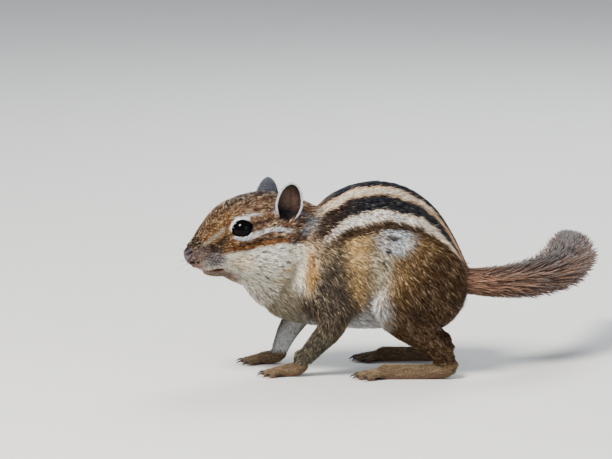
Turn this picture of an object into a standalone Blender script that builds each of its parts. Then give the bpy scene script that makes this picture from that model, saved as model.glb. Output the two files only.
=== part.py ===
"""A life-size Siberian chipmunk, crouched with an arched back and its head turned a little to its left.

The animal faces -X and its left side faces -Y. Z is up and the floor is Z 0. Sizes in this file are in
millimetres unless a name says otherwise, and they are turned into metres as each mesh is made.
"""

import math

import bmesh
import bpy
import numpy as np
from mathutils import Matrix, Vector
from mathutils.bvhtree import BVHTree

MM = 0.001
GAP = 0.3
LEFT, RIGHT = -1, 1
SIDE_NAMES = {LEFT: "left", RIGHT: "right"}

# Trunk ribs from the throat to the rump, each from its highest to its lowest point in the side view:
# x_high, z_high, x_low, z_low, half_width, and the share of the way up at which the rib is widest.
TRUNK_RIBS = (
    (-17, 60.5, -33, 33, 11.0, 0.45),
    (-8, 59.2, -28, 26, 13.5, 0.45),
    (-0.5, 64.4, -20, 20, 15.8, 0.45),
    (8, 68.4, -9, 17, 17.6, 0.45),
    (18, 69.7, 6, 15.5, 19.4, 0.45),
    (28, 67.2, 19, 15.5, 20.8, 0.45),
    (37.2, 60.8, 29, 17, 20.8, 0.45),
    (44.2, 51.0, 36, 19, 18.2, 0.45),
    (48.6, 41.5, 41, 22, 13.5, 0.45),
    (50.0, 35.5, 45, 27, 7.5, 0.5),
)

# The head is modelled straight and then turned. Its places are forward of the neck joint, to the left,
# and up.
NECK_JOINT = (-11, 0, 50.5)
HEAD_YAW = math.radians(22)
HEAD_ROLL = math.radians(3)
# Head ribs from the nose back: forward_high, up_high, forward_low, up_low, half_width, widest.
HEAD_RIBS = (
    (44.6, -4.0, 44.4, -7.4, 1.5, 0.5),
    (43.6, -2.2, 43.2, -8.6, 2.7, 0.5),
    (41.0, 0.8, 40.2, -10.2, 4.0, 0.45),
    (38.2, 5.0, 37.0, -11.4, 5.2, 0.42),
    (34.6, 9.2, 33.0, -12.8, 6.8, 0.42),
    (29.5, 12.6, 28.0, -15.6, 9.0, 0.45),
    (23.0, 14.8, 22.0, -18.2, 11.2, 0.45),
    (16.0, 15.8, 15.0, -19.2, 12.8, 0.42),
    (9.0, 15.0, 7.5, -18.8, 13.6, 0.42),
    (2.0, 13.0, 0.5, -17.0, 13.2, 0.45),
    (-4.5, 9.8, -6.5, -13.5, 11.4, 0.5),
    (-9.5, 5.8, -10.5, -8.0, 7.4, 0.5),
)
CHEEK = ((12, 6.2, -8.4), (15.0, 8.6, 9.6))
WHISKER_PAD = ((36.2, 2.8, -7.4), (5.4, 3.5, 4.0))
CHIN = ((31.0, 0, -11.6), (7.0, 4.2, 2.6))

EYE_AT = (25.4, 7.7, 3.4)
EYE_RADIUS = 4.2
EYE_LOOKS = (0.32, 0.92, 0.22)
LID_PLANE = 2.1
LID_RIDGE = 0.35
LID_RADIUS = 4.2
LID_BLEND = (4.5, 8.5)
LID_DROOP = 0.05

MOUTH_LINE = (
    (41.2, 0.0, -10.6),
    (39.2, 2.6, -10.8),
    (36.0, 4.8, -11.4),
    (32.5, 6.6, -12.0),
    (29.6, 8.0, -11.8),
)
MOUTH_DEPTH = 0.8
MOUTH_WIDTH = 0.9
MOUTH_GROOVE = 0.4
NOSE = ((43.0, 0, -5.1), (2.3, 2.6, 2.2))
NOSE_CUT = ((44.8, 0, -4.9), (3.9, 3.3, 2.9))
NOSTRIL = ((45.0, 1.35, -5.2), (1.5, 0.65, 0.5))

# Whiskers stand in a patch of the muzzle on each side, in rows from the front back and from the top down.
# Roots and directions are forward, outward and up: the first whisker's, then what the way back adds, then
# what the way down adds.
WHISKER_CUT = ((36.3, 6.0, -7.3), (3.6, 2.6, 2.4))
WHISKER_ROWS = 3
WHISKERS_IN_ROW = 2
WHISKER_ROOTS = ((37.7, 4.4, -6.4), (-2.3, 0.3, 0), (0, 0, -1.7))
WHISKER_WAYS = ((0.62, 1.0, 0.36), (-1.15, 0, 0), (0, 0, -0.7))
WHISKER_LENGTH = (11.0, 21.0)
WHISKER_DROOP = 0.1
WHISKER_RADII = (0.32, 0.26, 0.1)

# An ear is a cup with its long way from base to tip, open to the side and a little forward.
EAR_AT = (8.5, 11.2, 11.2)
EAR_HALF_LENGTH = 8.8
EAR_HALF_WIDTH = 5.0
EAR_CUP = 3.8
EAR_WALL = 0.9
EAR_RIM = 0.9
EAR_BASE_SHARE = 0.62
EAR_OPENS = (0.30, 0.94, 0.12)
EAR_POINTS = (-0.16, 0.14, 1.0)

# Leg paths from the shoulder or hip down: x, distance from the middle, z and radius.
FORELEG_LEFT = (
    (-5, 9.5, 37, 9.0),
    (0, 12.5, 27, 7.8),
    (0.5, 14, 18.5, 5.6),
    (-5, 13.5, 11.5, 4.2),
    (-10.5, 13, 5.0, 3.2),
)
FORELEG_RIGHT = (
    (-8, 9.5, 37, 9.0),
    (-8, 12.5, 27, 7.4),
    (-11, 13, 19, 5.4),
    (-15.5, 12, 12, 4.3),
    (-18.5, 11.5, 5.0, 3.2),
)
HIND_LEG = (
    (36, 10, 36, 12.5),
    (29, 14, 31, 11.0),
    (23, 17.5, 25, 7.8),
    (29, 18, 18, 5.8),
    (37, 17.5, 12, 4.3),
    (42, 17.5, 5.5, 3.5),
)
HAUNCH = ((33.5, 12.5, 34), (16.0, 10.0, 18.5))
SHOULDER = ((-3.5, 10.0, 34), (10.0, 7.8, 14.0))
SHOULDER_CUT = ((-3.5, 17.5, 30), (12.0, 11.0, 16.5))
HAUNCH_CUT = ((32.5, 21.0, 32), (19.0, 14.5, 21.5))
LEG_CUT_MARGIN = 2.2
WRIST_Z = 5.0
ANKLE_Z = 5.5

# A paw is a palm that runs forward from the last row of its leg, with toes fanned out from its end.
# Palm rows: distance forward of the leg, z and radius. Toes: fan angle in degrees and length.
FORE_PALM = ((0, 8.0, 3.3), (0.4, 4.2, 3.2), (3.0, 2.7, 2.9), (6.0, 2.2, 2.6))
FORE_TOES = ((-30, 5.2), (-11, 6.6), (9, 6.8), (28, 5.4))
HIND_PALM = ((0, 9.0, 3.6), (-0.8, 4.4, 3.3), (5, 2.9, 3.0), (14, 2.6, 3.1), (22, 2.4, 3.3))
HIND_TOES = ((-27, 6.2), (-13, 8.8), (0, 9.6), (12, 9.0), (28, 6.6))
PAW_SINK = 0.5
TOE_RADIUS = 1.25
TOE_SPREAD = 1.2
TOE_START = 0.2
# Toe and claw rows: share of the length, height of the middle, and share of the radius.
TOE_ROWS = ((0.0, 1.9, 1.0), (0.55, 2.1, 1.0), (1.0, 0.85, 0.85))
CLAW_LENGTH = 2.9
CLAW_RADIUS = 0.5
CLAW_ROWS = ((-0.1, 1.1, 1.0), (0.5, 1.45, 0.85), (1.0, 0.5, 0.15))

# The head ends at the first plane and the neck at the second, each a point and a normal to the front.
HEAD_PLANE = ((-8.5, 0, 57), (-0.87, -0.17, 0.46))
NECK_PLANE = ((-1.5, 0, 60), (-0.93, -0.05, 0.366))

TAIL_PATH = (
    (43, 0, 34),
    (52, 0.4, 32.6),
    (63, 4, 31.8),
    (73.5, 12, 31.6),
    (82, 23.5, 32),
    (87.5, 37, 33),
    (90.5, 52, 34),
    (91.5, 67, 35),
    (91, 82, 36),
    (89, 94, 36.5),
)
# Along the tail: distance from its root, the core's half width and half height, and how far the hair
# stands off the core to the sides, and up and down.
TAIL_SHAPE = (
    (0, 4.6, 4.4, 0.0, 0.0),
    (8, 4.5, 4.0, 1.5, 1.0),
    (22, 4.4, 3.5, 4.8, 2.6),
    (40, 4.6, 3.4, 6.4, 3.4),
    (68, 4.4, 3.2, 6.8, 3.6),
    (84, 3.4, 2.6, 6.4, 3.4),
    (94, 2.4, 2.0, 5.0, 2.8),
    (110, 0.4, 0.4, 1.6, 1.2),
)
TAIL_ENDS = (0.0, 35.0, 65.0, 94.0)
TAIL_NAMES = ("tail_base", "tail_middle", "tail_end")
FIRST_LOCKS = 9.0
LOCK_SPACING = 6.4
LOCKS_ROUND = 6
LOCK_LENGTH = (10.0, 16.5)
LOCK_WIDTH = 4.4
LOCK_THICKNESS = 1.0
LOCK_SINK = 1.3
LOCK_CLEAR = (1.2, 6.2)

BODY_VOXEL = 0.55
PAW_VOXEL = 0.36
CUT_VOXEL = 1.2
BODY_SOFTENING = 40
PAW_SOFTENING = 3
CUT_SOFTENING = 8
CUT_TRIANGLES = 340
# The face and the feet are softened less: where each begins and is full, and how much less.
FACE_SOFTER = (14, 30, 0.93)
FOOT_SOFTER = (6, 18, 0.85)
FACE_BLEND = (8, 22)
FACE_KEEPS = 0.5
THIN_FACTOR = 0.1
FACE_BODY_TRIANGLES = 2740
BODY_TRIANGLES = 3200
FOREPAW_TRIANGLES = 330
HIND_FOOT_TRIANGLES = 390
RING_SIDES = 32
EYE_SEGMENTS = 14
PATCH_SEGMENTS = 10
NOSTRIL_SEGMENTS = 10
TAIL_SIDES = 14
TAIL_RECESS = (-1.0, 30.0)
TAIL_SEED = 7

# Finishes: base colour and roughness.
FINISHES = {
    "brown_coat": ((0.36, 0.22, 0.11), 0.85),
    "striped_coat": ((0.30, 0.20, 0.12), 0.85),
    "ear_skin": ((0.26, 0.17, 0.12), 0.75),
    "tail_hair": ((0.24, 0.19, 0.15), 0.8),
    "paw_skin": ((0.34, 0.22, 0.14), 0.7),
    "nose_skin": ((0.22, 0.13, 0.12), 0.45),
    "eye_gloss": ((0.004, 0.003, 0.003), 0.05),
}
UPWARD = np.array((0.0, 0.0, 1.0))


def clear_scene():
    for obj in list(bpy.data.objects):
        bpy.data.objects.remove(obj, do_unlink=True)


def smooth_rows(rows, steps):
    """Rows of numbers read from a smooth curve through the given rows, with steps between each pair."""
    rows = np.asarray(rows, float)
    padded = np.vstack([2 * rows[0] - rows[1], rows, 2 * rows[-1] - rows[-2]])
    found = []
    for i in range(1, len(padded) - 2):
        before, start, end, after = padded[i - 1 : i + 3]
        for t in np.arange(steps) / steps:
            bend = (2 * before - 5 * start + 4 * end - after) * t**2
            twist = (3 * start - before - 3 * end + after) * t**3
            found.append(start + 0.5 * ((end - before) * t + bend + twist))
    found.append(rows[-1])
    return np.array(found)


def object_of(name, bm):
    mesh = bpy.data.meshes.new(name)
    bm.to_mesh(mesh)
    bm.free()
    obj = bpy.data.objects.new(name, mesh)
    bpy.context.scene.collection.objects.link(obj)
    return obj


def loft(name, rings, frame=None):
    """A closed mesh through rings of points in millimetres, each ring bridged to the next."""
    frame = frame or Matrix.Identity(4)
    bm = bmesh.new()
    loops = []
    for ring in rings:
        corners = [bm.verts.new((frame @ Vector(p)) * MM) for p in ring]
        loops.append((corners, [bm.edges.new(pair) for pair in zip(corners, corners[1:] + corners[:1])]))
    for (_, first), (_, second) in zip(loops, loops[1:]):
        bmesh.ops.bridge_loops(bm, edges=first + second)
    for corners, _ in (loops[0], loops[-1]):
        bm.faces.new(corners)
    bmesh.ops.recalc_face_normals(bm, faces=bm.faces)
    return object_of(name, bm)


def egg_ring(high, low, half_width, widest):
    """Points round a rib from its lowest to its highest point, which is widest part of the way up."""
    high, low = np.array(high, float), np.array(low, float)
    middle = low + (high - low) * widest
    angles = np.linspace(0, 2 * math.pi, RING_SIDES, endpoint=False)
    lift, across = np.sin(angles), np.cos(angles)
    upward = np.where(lift > 0, lift, 0)[:, None] * (high - middle)
    downward = np.where(lift < 0, -lift, 0)[:, None] * (low - middle)
    return middle + upward + downward + across[:, None] * np.array((0, half_width, 0))


def ribbed(name, ribs, steps, frame=None):
    rings = []
    for x_high, z_high, x_low, z_low, half_width, widest in smooth_rows(ribs, steps):
        rings.append(egg_ring((x_high, 0, z_high), (x_low, 0, z_low), half_width, widest))
    return loft(name, rings, frame)


def tube(name, path, margin=0.0, sides=20, steps=3):
    """A round tube along rows of x, y, z and radius, with rounded ends."""
    rows = smooth_rows(path, steps)
    centres, radii = rows[:, :3], rows[:, 3] + margin
    ahead = np.gradient(centres, axis=0)
    ahead /= np.linalg.norm(ahead, axis=1)[:, None]
    first = [centres[0] - ahead[0] * radii[0] * r for r in (0.9, 0.6)]
    last = [centres[-1] + ahead[-1] * radii[-1] * r for r in (0.6, 0.9)]
    centres = np.vstack([first, centres, last])
    ahead = np.vstack([ahead[:1], ahead[:1], ahead, ahead[-1:], ahead[-1:]])
    radii = np.concatenate([radii[0] * np.array((0.44, 0.8)), radii, radii[-1] * np.array((0.8, 0.44))])
    angles = np.linspace(0, 2 * math.pi, sides, endpoint=False)
    rings = []
    for centre, direction, radius in zip(centres, ahead, radii):
        across = np.array((0, 1, 0)) - direction * direction[1]
        across /= np.linalg.norm(across)
        lift = np.cross(direction, across)
        ring = centre + radius * (np.cos(angles)[:, None] * across + np.sin(angles)[:, None] * lift)
        rings.append(ring)
    return loft(name, rings)


def ellipsoid(name, at, radii, frame=None, segments=24):
    bm = bmesh.new()
    place = (frame or Matrix.Identity(4)) @ Matrix.Translation(at) @ Matrix.Diagonal((*radii, 1))
    bmesh.ops.create_uvsphere(bm, u_segments=segments, v_segments=segments * 2 // 3, radius=1)
    bmesh.ops.transform(bm, matrix=Matrix.Scale(MM, 4) @ place, verts=bm.verts)
    bmesh.ops.recalc_face_normals(bm, faces=bm.faces)
    return object_of(name, bm)


def mirrored(at, side):
    """A place given for the left side, in the head's own frame, on either side."""
    return (at[0], -side * at[1], at[2])


def body_row(row, side):
    """A row of x, distance from the middle, z and radius as a row in the animal's frame."""
    return (row[0], side * row[1], *row[2:])


def head_frame():
    forward = Vector((-math.cos(HEAD_YAW), -math.sin(HEAD_YAW), 0))
    left = Vector((math.sin(HEAD_YAW), -math.cos(HEAD_YAW), 0))
    straight = Matrix((forward, left, Vector((0, 0, 1)))).transposed()
    turned = Matrix.Rotation(HEAD_ROLL, 3, forward) @ straight
    return Matrix.Translation(NECK_JOINT) @ turned.to_4x4()


def apply_modifiers(obj):
    graph = bpy.context.evaluated_depsgraph_get()
    made = bpy.data.meshes.new_from_object(obj.evaluated_get(graph))
    obj.modifiers.clear()
    old, obj.data = obj.data, made
    bpy.data.meshes.remove(old)
    return obj


def joined(name, objects):
    """One mesh object that holds the faces of several, which are removed."""
    bm = bmesh.new()
    for obj in objects:
        bm.from_mesh(obj.data)
        bpy.data.objects.remove(obj, do_unlink=True)
    return object_of(name, bm)


def remeshed(obj, voxel):
    modifier = obj.modifiers.new("Fuse", "REMESH")
    modifier.mode = "VOXEL"
    modifier.voxel_size = voxel * MM
    return apply_modifiers(obj)


def points_of(obj):
    flat = np.empty(len(obj.data.vertices) * 3)
    obj.data.vertices.foreach_get("co", flat)
    return flat.reshape(-1, 3) / MM


def set_points(obj, points):
    obj.data.vertices.foreach_set("co", (points * MM).ravel())
    obj.data.update()


def give_weights(obj, name, weights):
    group = obj.vertex_groups.new(name=name)
    for step in np.unique(np.round(weights, 2)):
        group.add(np.flatnonzero(np.round(weights, 2) == step).tolist(), float(step), "REPLACE")
    return group.name


def softened(obj, times, weights=None):
    modifier = obj.modifiers.new("Soften", "SMOOTH")
    modifier.factor = 0.5
    modifier.iterations = times
    if weights is not None:
        modifier.vertex_group = give_weights(obj, "soften", weights)
    apply_modifiers(obj)
    obj.vertex_groups.clear()
    return obj


def thinned(obj, triangles, weights=None):
    """Decimates to about this many triangles. Places with less weight keep more of theirs."""
    obj.data.calc_loop_triangles()
    modifier = obj.modifiers.new("Thin", "DECIMATE")
    modifier.ratio = triangles / len(obj.data.loop_triangles)
    modifier.use_collapse_triangulate = True
    if weights is not None:
        modifier.vertex_group = give_weights(obj, "thin", weights)
        modifier.vertex_group_factor = THIN_FACTOR
    apply_modifiers(obj)
    obj.vertex_groups.clear()
    return obj


def boolean(obj, tool, operation):
    """Joins, cuts or crosses one closed mesh with another, which is then removed."""
    modifier = obj.modifiers.new("Cut", "BOOLEAN")
    modifier.operation = operation
    modifier.solver = "EXACT"
    modifier.object = tool
    apply_modifiers(obj)
    bpy.data.objects.remove(tool, do_unlink=True)
    return obj


def copy_of(obj, name):
    twin = bpy.data.objects.new(name, obj.data.copy())
    bpy.context.scene.collection.objects.link(twin)
    return twin


def swollen(obj, margin):
    """A copy with every point moved out along its normal."""
    twin = copy_of(obj, obj.name)
    normals = np.empty(len(twin.data.vertices) * 3)
    twin.data.vertex_normals.foreach_get("vector", normals)
    set_points(twin, points_of(twin) + margin * normals.reshape(-1, 3))
    return twin


def keep_largest(obj):
    """Drops every closed surface but the largest."""
    bm = bmesh.new()
    bm.from_mesh(obj.data)
    left = set(bm.verts)
    islands = []
    while left:
        found, edge = set(), [left.pop()]
        while edge:
            vert = edge.pop()
            found.add(vert)
            near = {e.other_vert(vert) for e in vert.link_edges} & left
            left -= near
            edge.extend(near)
        islands.append(found)
    if len(islands) > 1:
        largest = max(islands, key=len)
        bmesh.ops.delete(bm, geom=[v for v in bm.verts if v not in largest], context="VERTS")
    bm.to_mesh(obj.data)
    bm.free()
    return obj


def half_space(point, normal, reach=200):
    """A large box on the side of a plane that its normal points to."""
    bm = bmesh.new()
    bmesh.ops.create_cube(bm, size=2)
    turn = Vector(normal).to_track_quat("Z", "Y").to_matrix().to_4x4()
    place = Matrix.Translation(point) @ turn @ Matrix.Scale(reach, 4) @ Matrix.Translation((0, 0, 1))
    bmesh.ops.transform(bm, matrix=Matrix.Scale(MM, 4) @ place, verts=bm.verts)
    return object_of("half_space", bm)


def keep_side(obj, point, normal):
    return keep_largest(boolean(obj, half_space(point, normal), "INTERSECT"))


def smooth_step(value, low, high):
    t = np.clip((value - low) / (high - low), 0, 1)
    return t * t * (3 - 2 * t)


def line_distance(points, line):
    """Each point's distance from a chain of straight runs."""
    nearest = np.full(len(points), np.inf)
    for start, end in zip(line, line[1:]):
        start, run = np.array(start, float), np.subtract(end, start)
        share = np.clip((points - start) @ run / (run @ run), 0, 1)
        nearest = np.minimum(nearest, np.linalg.norm(points - start - share[:, None] * run, axis=1))
    return nearest


def to_head(points):
    inverse = np.array(head_frame().inverted())
    return points @ inverse[:3, :3].T + inverse[:3, 3]


def from_head(points):
    frame = np.array(head_frame())
    return points @ frame[:3, :3].T + frame[:3, 3]


def shape_lids(points, side):
    """Presses the head flat round an eye and raises a rim of lid about it."""
    axis = np.array(mirrored(EYE_LOOKS, side))
    axis /= np.linalg.norm(axis)
    offset = points - np.array(mirrored(EYE_AT, side))
    depth = offset @ axis
    across = offset - depth[:, None] * axis
    radius = np.linalg.norm(across, axis=1)
    ridge = np.exp(-(((radius - LID_RADIUS) / 0.8) ** 2))
    wanted = LID_PLANE + LID_RIDGE * ridge + LID_DROOP * np.minimum(across[:, 2] ** 2, LID_RADIUS**2)
    share = (1 - smooth_step(radius, *LID_BLEND)) * (depth > -1)
    return points + (share * (wanted - depth))[:, None] * axis


def shape_mouth(points):
    """Sinks the line between the lips, on both sides, towards the middle of the muzzle."""
    inward = np.array((0, 0, -8.0)) - points * np.array((0, 1, 1))
    inward /= np.linalg.norm(inward, axis=1)[:, None] + 1e-9
    line = smooth_rows(MOUTH_LINE, 4)
    for side in (LEFT, RIGHT):
        away = line_distance(points, [mirrored(p, side) for p in line])
        points = points + (MOUTH_DEPTH * np.exp(-((away / MOUTH_WIDTH) ** 2)))[:, None] * inward
    return points


def body_of_flesh():
    """The whole body but the paws, ears, eyes and tail, fused, softened, and given its face."""
    head = head_frame()
    pieces = [
        ribbed("trunk", TRUNK_RIBS, 3),
        ribbed("skull", HEAD_RIBS, 3, head),
        ellipsoid("chin", *CHIN, head),
        ellipsoid("nose_pad", *NOSE, head),
    ]
    for side in (LEFT, RIGHT):
        for at, radii in (CHEEK, WHISKER_PAD):
            pieces.append(ellipsoid("cheek", mirrored(at, side), radii, head))
        pieces.append(tube("foreleg", leg_rows(foreleg_of(side), side)))
        pieces.append(tube("hind_leg", leg_rows(HIND_LEG, side)))
        for at, radii in (HAUNCH, SHOULDER):
            pieces.append(ellipsoid("joint", body_row(at, side), radii))
    body = remeshed(joined("body", pieces), BODY_VOXEL)
    face = FACE_SOFTER[2] * smooth_step(to_head(points_of(body))[:, 0], *FACE_SOFTER[:2])
    foot = FOOT_SOFTER[2] * (1 - smooth_step(points_of(body)[:, 2], *FOOT_SOFTER[:2]))
    softened(body, BODY_SOFTENING, (1 - face) * (1 - foot))
    at_head = to_head(points_of(body))
    for side in (LEFT, RIGHT):
        at_head = shape_lids(at_head, side)
    set_points(body, from_head(shape_mouth(at_head)))
    return softened(body, 2)


def foreleg_of(side):
    return FORELEG_LEFT if side == LEFT else FORELEG_RIGHT


def leg_rows(rows, side):
    return [body_row(row, side) for row in rows]


def claw(root, ahead):
    """A curved five-sided claw from inside a toe's end down to just above the floor."""
    across = np.cross(UPWARD, ahead)
    angles = np.linspace(0, 2 * math.pi, 5, endpoint=False)
    rings = []
    for share, height, size in CLAW_ROWS:
        centre = root * (1, 1, 0) + ahead * share * CLAW_LENGTH + UPWARD * height
        around = [math.cos(a) * across + math.sin(a) * UPWARD for a in angles]
        rings.append([centre + CLAW_RADIUS * size * way for way in around])
    return loft("claw", rings)


def toe_rows(root, ahead, length):
    """Rows of a toe from its root over its knuckle to its tip."""
    rows = []
    for share, height, size in TOE_ROWS:
        x, y, _ = root + ahead * length * share
        rows.append((x, y, height, TOE_RADIUS * size))
    return rows


def paw(name, leg, palm, toes, side, top, triangles):
    """A palm, toes and claws under the end of a leg, flat where they meet the floor."""
    x, y, _ = body_row(leg[-1], side)[:3]
    rows = [(x - forward, y, z - PAW_SINK, radius) for forward, z, radius in palm]
    front, broad = rows[-1][0], rows[-1][3]
    pieces = [tube("palm", rows, sides=16)]
    claws = []
    for fan, length in toes:
        angle = math.radians(fan)
        ahead = np.array((-math.cos(angle), side * math.sin(angle), 0))
        root = np.array((front, y + side * broad * TOE_SPREAD * angle, 0)) + ahead * broad * TOE_START
        pieces.append(tube("toe", toe_rows(root, ahead, length), sides=12))
        claws.append(claw(root + ahead * length, ahead))
    made = thinned(softened(remeshed(joined(name, pieces), PAW_VOXEL), PAW_SOFTENING), triangles)
    keep_side(made, (0, 0, 0), UPWARD)
    keep_side(made, (0, 0, top - GAP / 2), -UPWARD)
    for nail in claws:
        boolean(made, nail, "UNION")
    return keep_largest(made)


def leg_space(leg, ball, side):
    """The space that a leg takes up, with room round it, as one closed mesh of few faces."""
    outward = [(row[0], row[1] + 1.5, *row[2:]) for row in leg[1:]]
    at, radii = ball
    pieces = [
        tube("leg_space", leg_rows(outward, side), LEG_CUT_MARGIN),
        ellipsoid("joint_space", body_row(at, side), radii),
    ]
    space = remeshed(joined("leg_space", pieces), CUT_VOXEL)
    return thinned(softened(space, CUT_SOFTENING), CUT_TRIANGLES)


def take_leg(trunk, name, leg, ball, side, low):
    """Parts one leg from the trunk and ends it above its paw."""
    space = leg_space(leg, ball, side)
    limb = boolean(copy_of(trunk, name), swollen(space, -GAP / 2), "INTERSECT")
    boolean(trunk, swollen(space, GAP / 2), "DIFFERENCE")
    bpy.data.objects.remove(space, do_unlink=True)
    keep_largest(trunk)
    return keep_side(keep_largest(limb), (0, 0, low + GAP / 2), (0, 0, 1))


def ear_frame(side):
    """The place of an ear in the head: across, out of the cup, and towards the tip."""
    points_up = Vector(mirrored(EAR_POINTS, side)).normalized()
    opens = Vector(mirrored(EAR_OPENS, side))
    opens = (opens - points_up * opens.dot(points_up)).normalized()
    across = opens.cross(points_up)
    turn = Matrix((across, opens, points_up)).transposed().to_4x4()
    return head_frame() @ Matrix.Translation(mirrored(EAR_AT, side)) @ turn


def ear_cup(name, side, margin, hollow):
    """The bowl of an ear, narrower at its base, as a shell or as the filled space that it takes up."""
    bm = bmesh.new()
    bmesh.ops.create_uvsphere(bm, u_segments=14, v_segments=11, radius=1)
    for vert in bm.verts:
        taper = EAR_BASE_SHARE + (1 - EAR_BASE_SHARE) * float(smooth_step(vert.co.z, -1.0, 0.1))
        vert.co.x *= EAR_HALF_WIDTH * taper + margin
        vert.co.y *= EAR_CUP + margin
        vert.co.z *= EAR_HALF_LENGTH + margin
    rim = Vector((0, EAR_RIM + margin, 0))
    cut = bmesh.ops.bisect_plane(
        bm, geom=bm.verts[:] + bm.edges[:] + bm.faces[:], plane_co=rim, plane_no=(0, 1, 0), clear_outer=True
    )
    if not hollow:
        edges = [e for e in cut["geom_cut"] if isinstance(e, bmesh.types.BMEdge)]
        bmesh.ops.edgeloop_fill(bm, edges=edges)
    bmesh.ops.transform(bm, matrix=Matrix.Scale(MM, 4) @ ear_frame(side), verts=bm.verts)
    bmesh.ops.recalc_face_normals(bm, faces=bm.faces)
    cup = object_of(name, bm)
    if hollow:
        wall = cup.modifiers.new("Wall", "SOLIDIFY")
        wall.thickness = EAR_WALL * MM
        wall.offset = -1
        apply_modifiers(cup)
    return cup


class Tail:
    """The tail's curve, with its frame and thickness at any distance from the root."""

    def __init__(self):
        self.centres = smooth_rows(TAIL_PATH, 12)
        steps = np.linalg.norm(np.diff(self.centres, axis=0), axis=1)
        self.along = np.concatenate([[0], np.cumsum(steps)])
        self.ahead = np.gradient(self.centres, axis=0)
        self.ahead /= np.linalg.norm(self.ahead, axis=1)[:, None]
        self.shape = smooth_rows(TAIL_SHAPE, 6)

    def centre(self, s):
        return np.array([np.interp(s, self.along, self.centres[:, i]) for i in range(3)])

    def axes(self, s):
        ahead = np.array([np.interp(s, self.along, self.ahead[:, i]) for i in range(3)])
        side = np.cross((0, 0, 1), ahead)
        side /= np.linalg.norm(side)
        return ahead, side, np.cross(ahead, side)

    def size(self, s):
        return [np.interp(s, self.shape[:, 0], self.shape[:, i]) for i in range(1, 5)]

    def point(self, s, angle, height):
        """A point over the core's surface, at an angle round the tail."""
        _, side, up = self.axes(s)
        half_width, half_height = self.size(s)[:2]
        sideways = math.cos(angle) * (half_width + height) * side
        upright = math.sin(angle) * (half_height + height) * up
        return self.centre(s) + sideways + upright

    def core(self, name, start, end, margin=0.0):
        angles = np.linspace(0, 2 * math.pi, TAIL_SIDES, endpoint=False)
        stations = np.linspace(start, end, max(3, round((end - start) / 4)))
        return loft(name, [[self.point(s, a, margin) for a in angles] for s in stations])

    def lock(self, s, angle, length, lift):
        """A flat tapered lock, rooted in the core and bending along the tail."""
        rings = []
        broad = LOCK_WIDTH * (1 - 0.4 * smooth_step(s, 70, 95))
        for share, width, thickness in ((0, 0.8, 1), (0.5, 1, 1), (1, 0.12, 0.3)):
            height = -LOCK_SINK + (lift + LOCK_SINK) * (1.35 * share - 0.35 * share**2)
            at = self.point(s + length * share, angle, height)
            ahead, side, up = self.axes(s + length * share)
            outward = math.cos(angle) * side + math.sin(angle) * up
            wide = np.cross(outward, ahead) * broad * width / 2
            thick = outward * LOCK_THICKNESS * thickness / 2
            rings.append([at - wide, at - thick, at + wide, at + thick])
        return loft("lock", rings)

    def length(self, name, start, end, draw):
        """One length of the tail, with rings of locks that overlap along it."""
        first = max(FIRST_LOCKS, start + LOCK_CLEAR[0])
        last = end - LOCK_CLEAR[1] if end < TAIL_ENDS[-1] else end - 1
        rings = max(2, round((last - first) / LOCK_SPACING) + 1)
        made = self.core(name, start + GAP / 2, end - GAP / 2)
        group = bpy.data.collections.new("locks")
        bpy.context.scene.collection.children.link(group)
        for ring, s in enumerate(np.linspace(first, last, rings)):
            grown = smooth_step(s, FIRST_LOCKS, 34)
            count = LOCKS_ROUND if s < 80 else LOCKS_ROUND - 1
            for turn in range(count):
                angle = 2 * math.pi * (turn + 0.5 * (ring % 2)) / count + draw.uniform(-0.07, 0.07)
                _, _, sideways, upright = self.size(s + 8)
                lift = math.hypot(sideways * math.cos(angle), upright * math.sin(angle))
                lift *= draw.uniform(0.94, 1.06)
                span = LOCK_LENGTH[0] + (LOCK_LENGTH[1] - LOCK_LENGTH[0]) * grown
                span *= draw.uniform(0.95, 1.05)
                lock = self.lock(s, angle, span, lift)
                bpy.context.scene.collection.objects.unlink(lock)
                group.objects.link(lock)
        union = made.modifiers.new("Locks", "BOOLEAN")
        union.operation = "UNION"
        union.operand_type = "COLLECTION"
        union.collection = group
        union.solver = "MANIFOLD"
        apply_modifiers(made)
        for lock in list(group.objects):
            bpy.data.objects.remove(lock, do_unlink=True)
        bpy.data.collections.remove(group)
        return keep_largest(made)


def finish(obj, name):
    """Gives a sub-part its material and smooth shading."""
    material = bpy.data.materials.get(name) or bpy.data.materials.new(name)
    colour, roughness = FINISHES[name]
    material.use_nodes = True
    material.diffuse_color = (*colour, 1)
    shader = material.node_tree.nodes["Principled BSDF"]
    shader.inputs["Base Color"].default_value = (*colour, 1)
    shader.inputs["Roughness"].default_value = roughness
    shader.inputs["Metallic"].default_value = 0
    obj.data.materials.clear()
    obj.data.materials.append(material)
    obj.data.shade_smooth()
    return obj


def take_patch(head, name, at, radii, segments):
    """Parts a patch from the head along an ellipsoid, with a gap between the two."""
    patch = copy_of(head, name)
    inner, outer = (np.array(radii) + margin for margin in (-GAP / 2, GAP / 2))
    boolean(patch, ellipsoid("patch_space", at, inner, head_frame(), segments), "INTERSECT")
    boolean(head, ellipsoid("patch_space", at, outer, head_frame(), segments), "DIFFERENCE")
    return patch


def take_nose(head):
    """Parts the bare nose pad from the muzzle and sinks the nostrils into it."""
    nose = take_patch(head, "nose", *NOSE_CUT, PATCH_SEGMENTS)
    for side in (LEFT, RIGHT):
        at, radii = NOSTRIL
        nostril = ellipsoid("nostril", mirrored(at, side), radii, head_frame(), NOSTRIL_SEGMENTS)
        boolean(nose, nostril, "DIFFERENCE")
    return keep_largest(nose)


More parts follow.
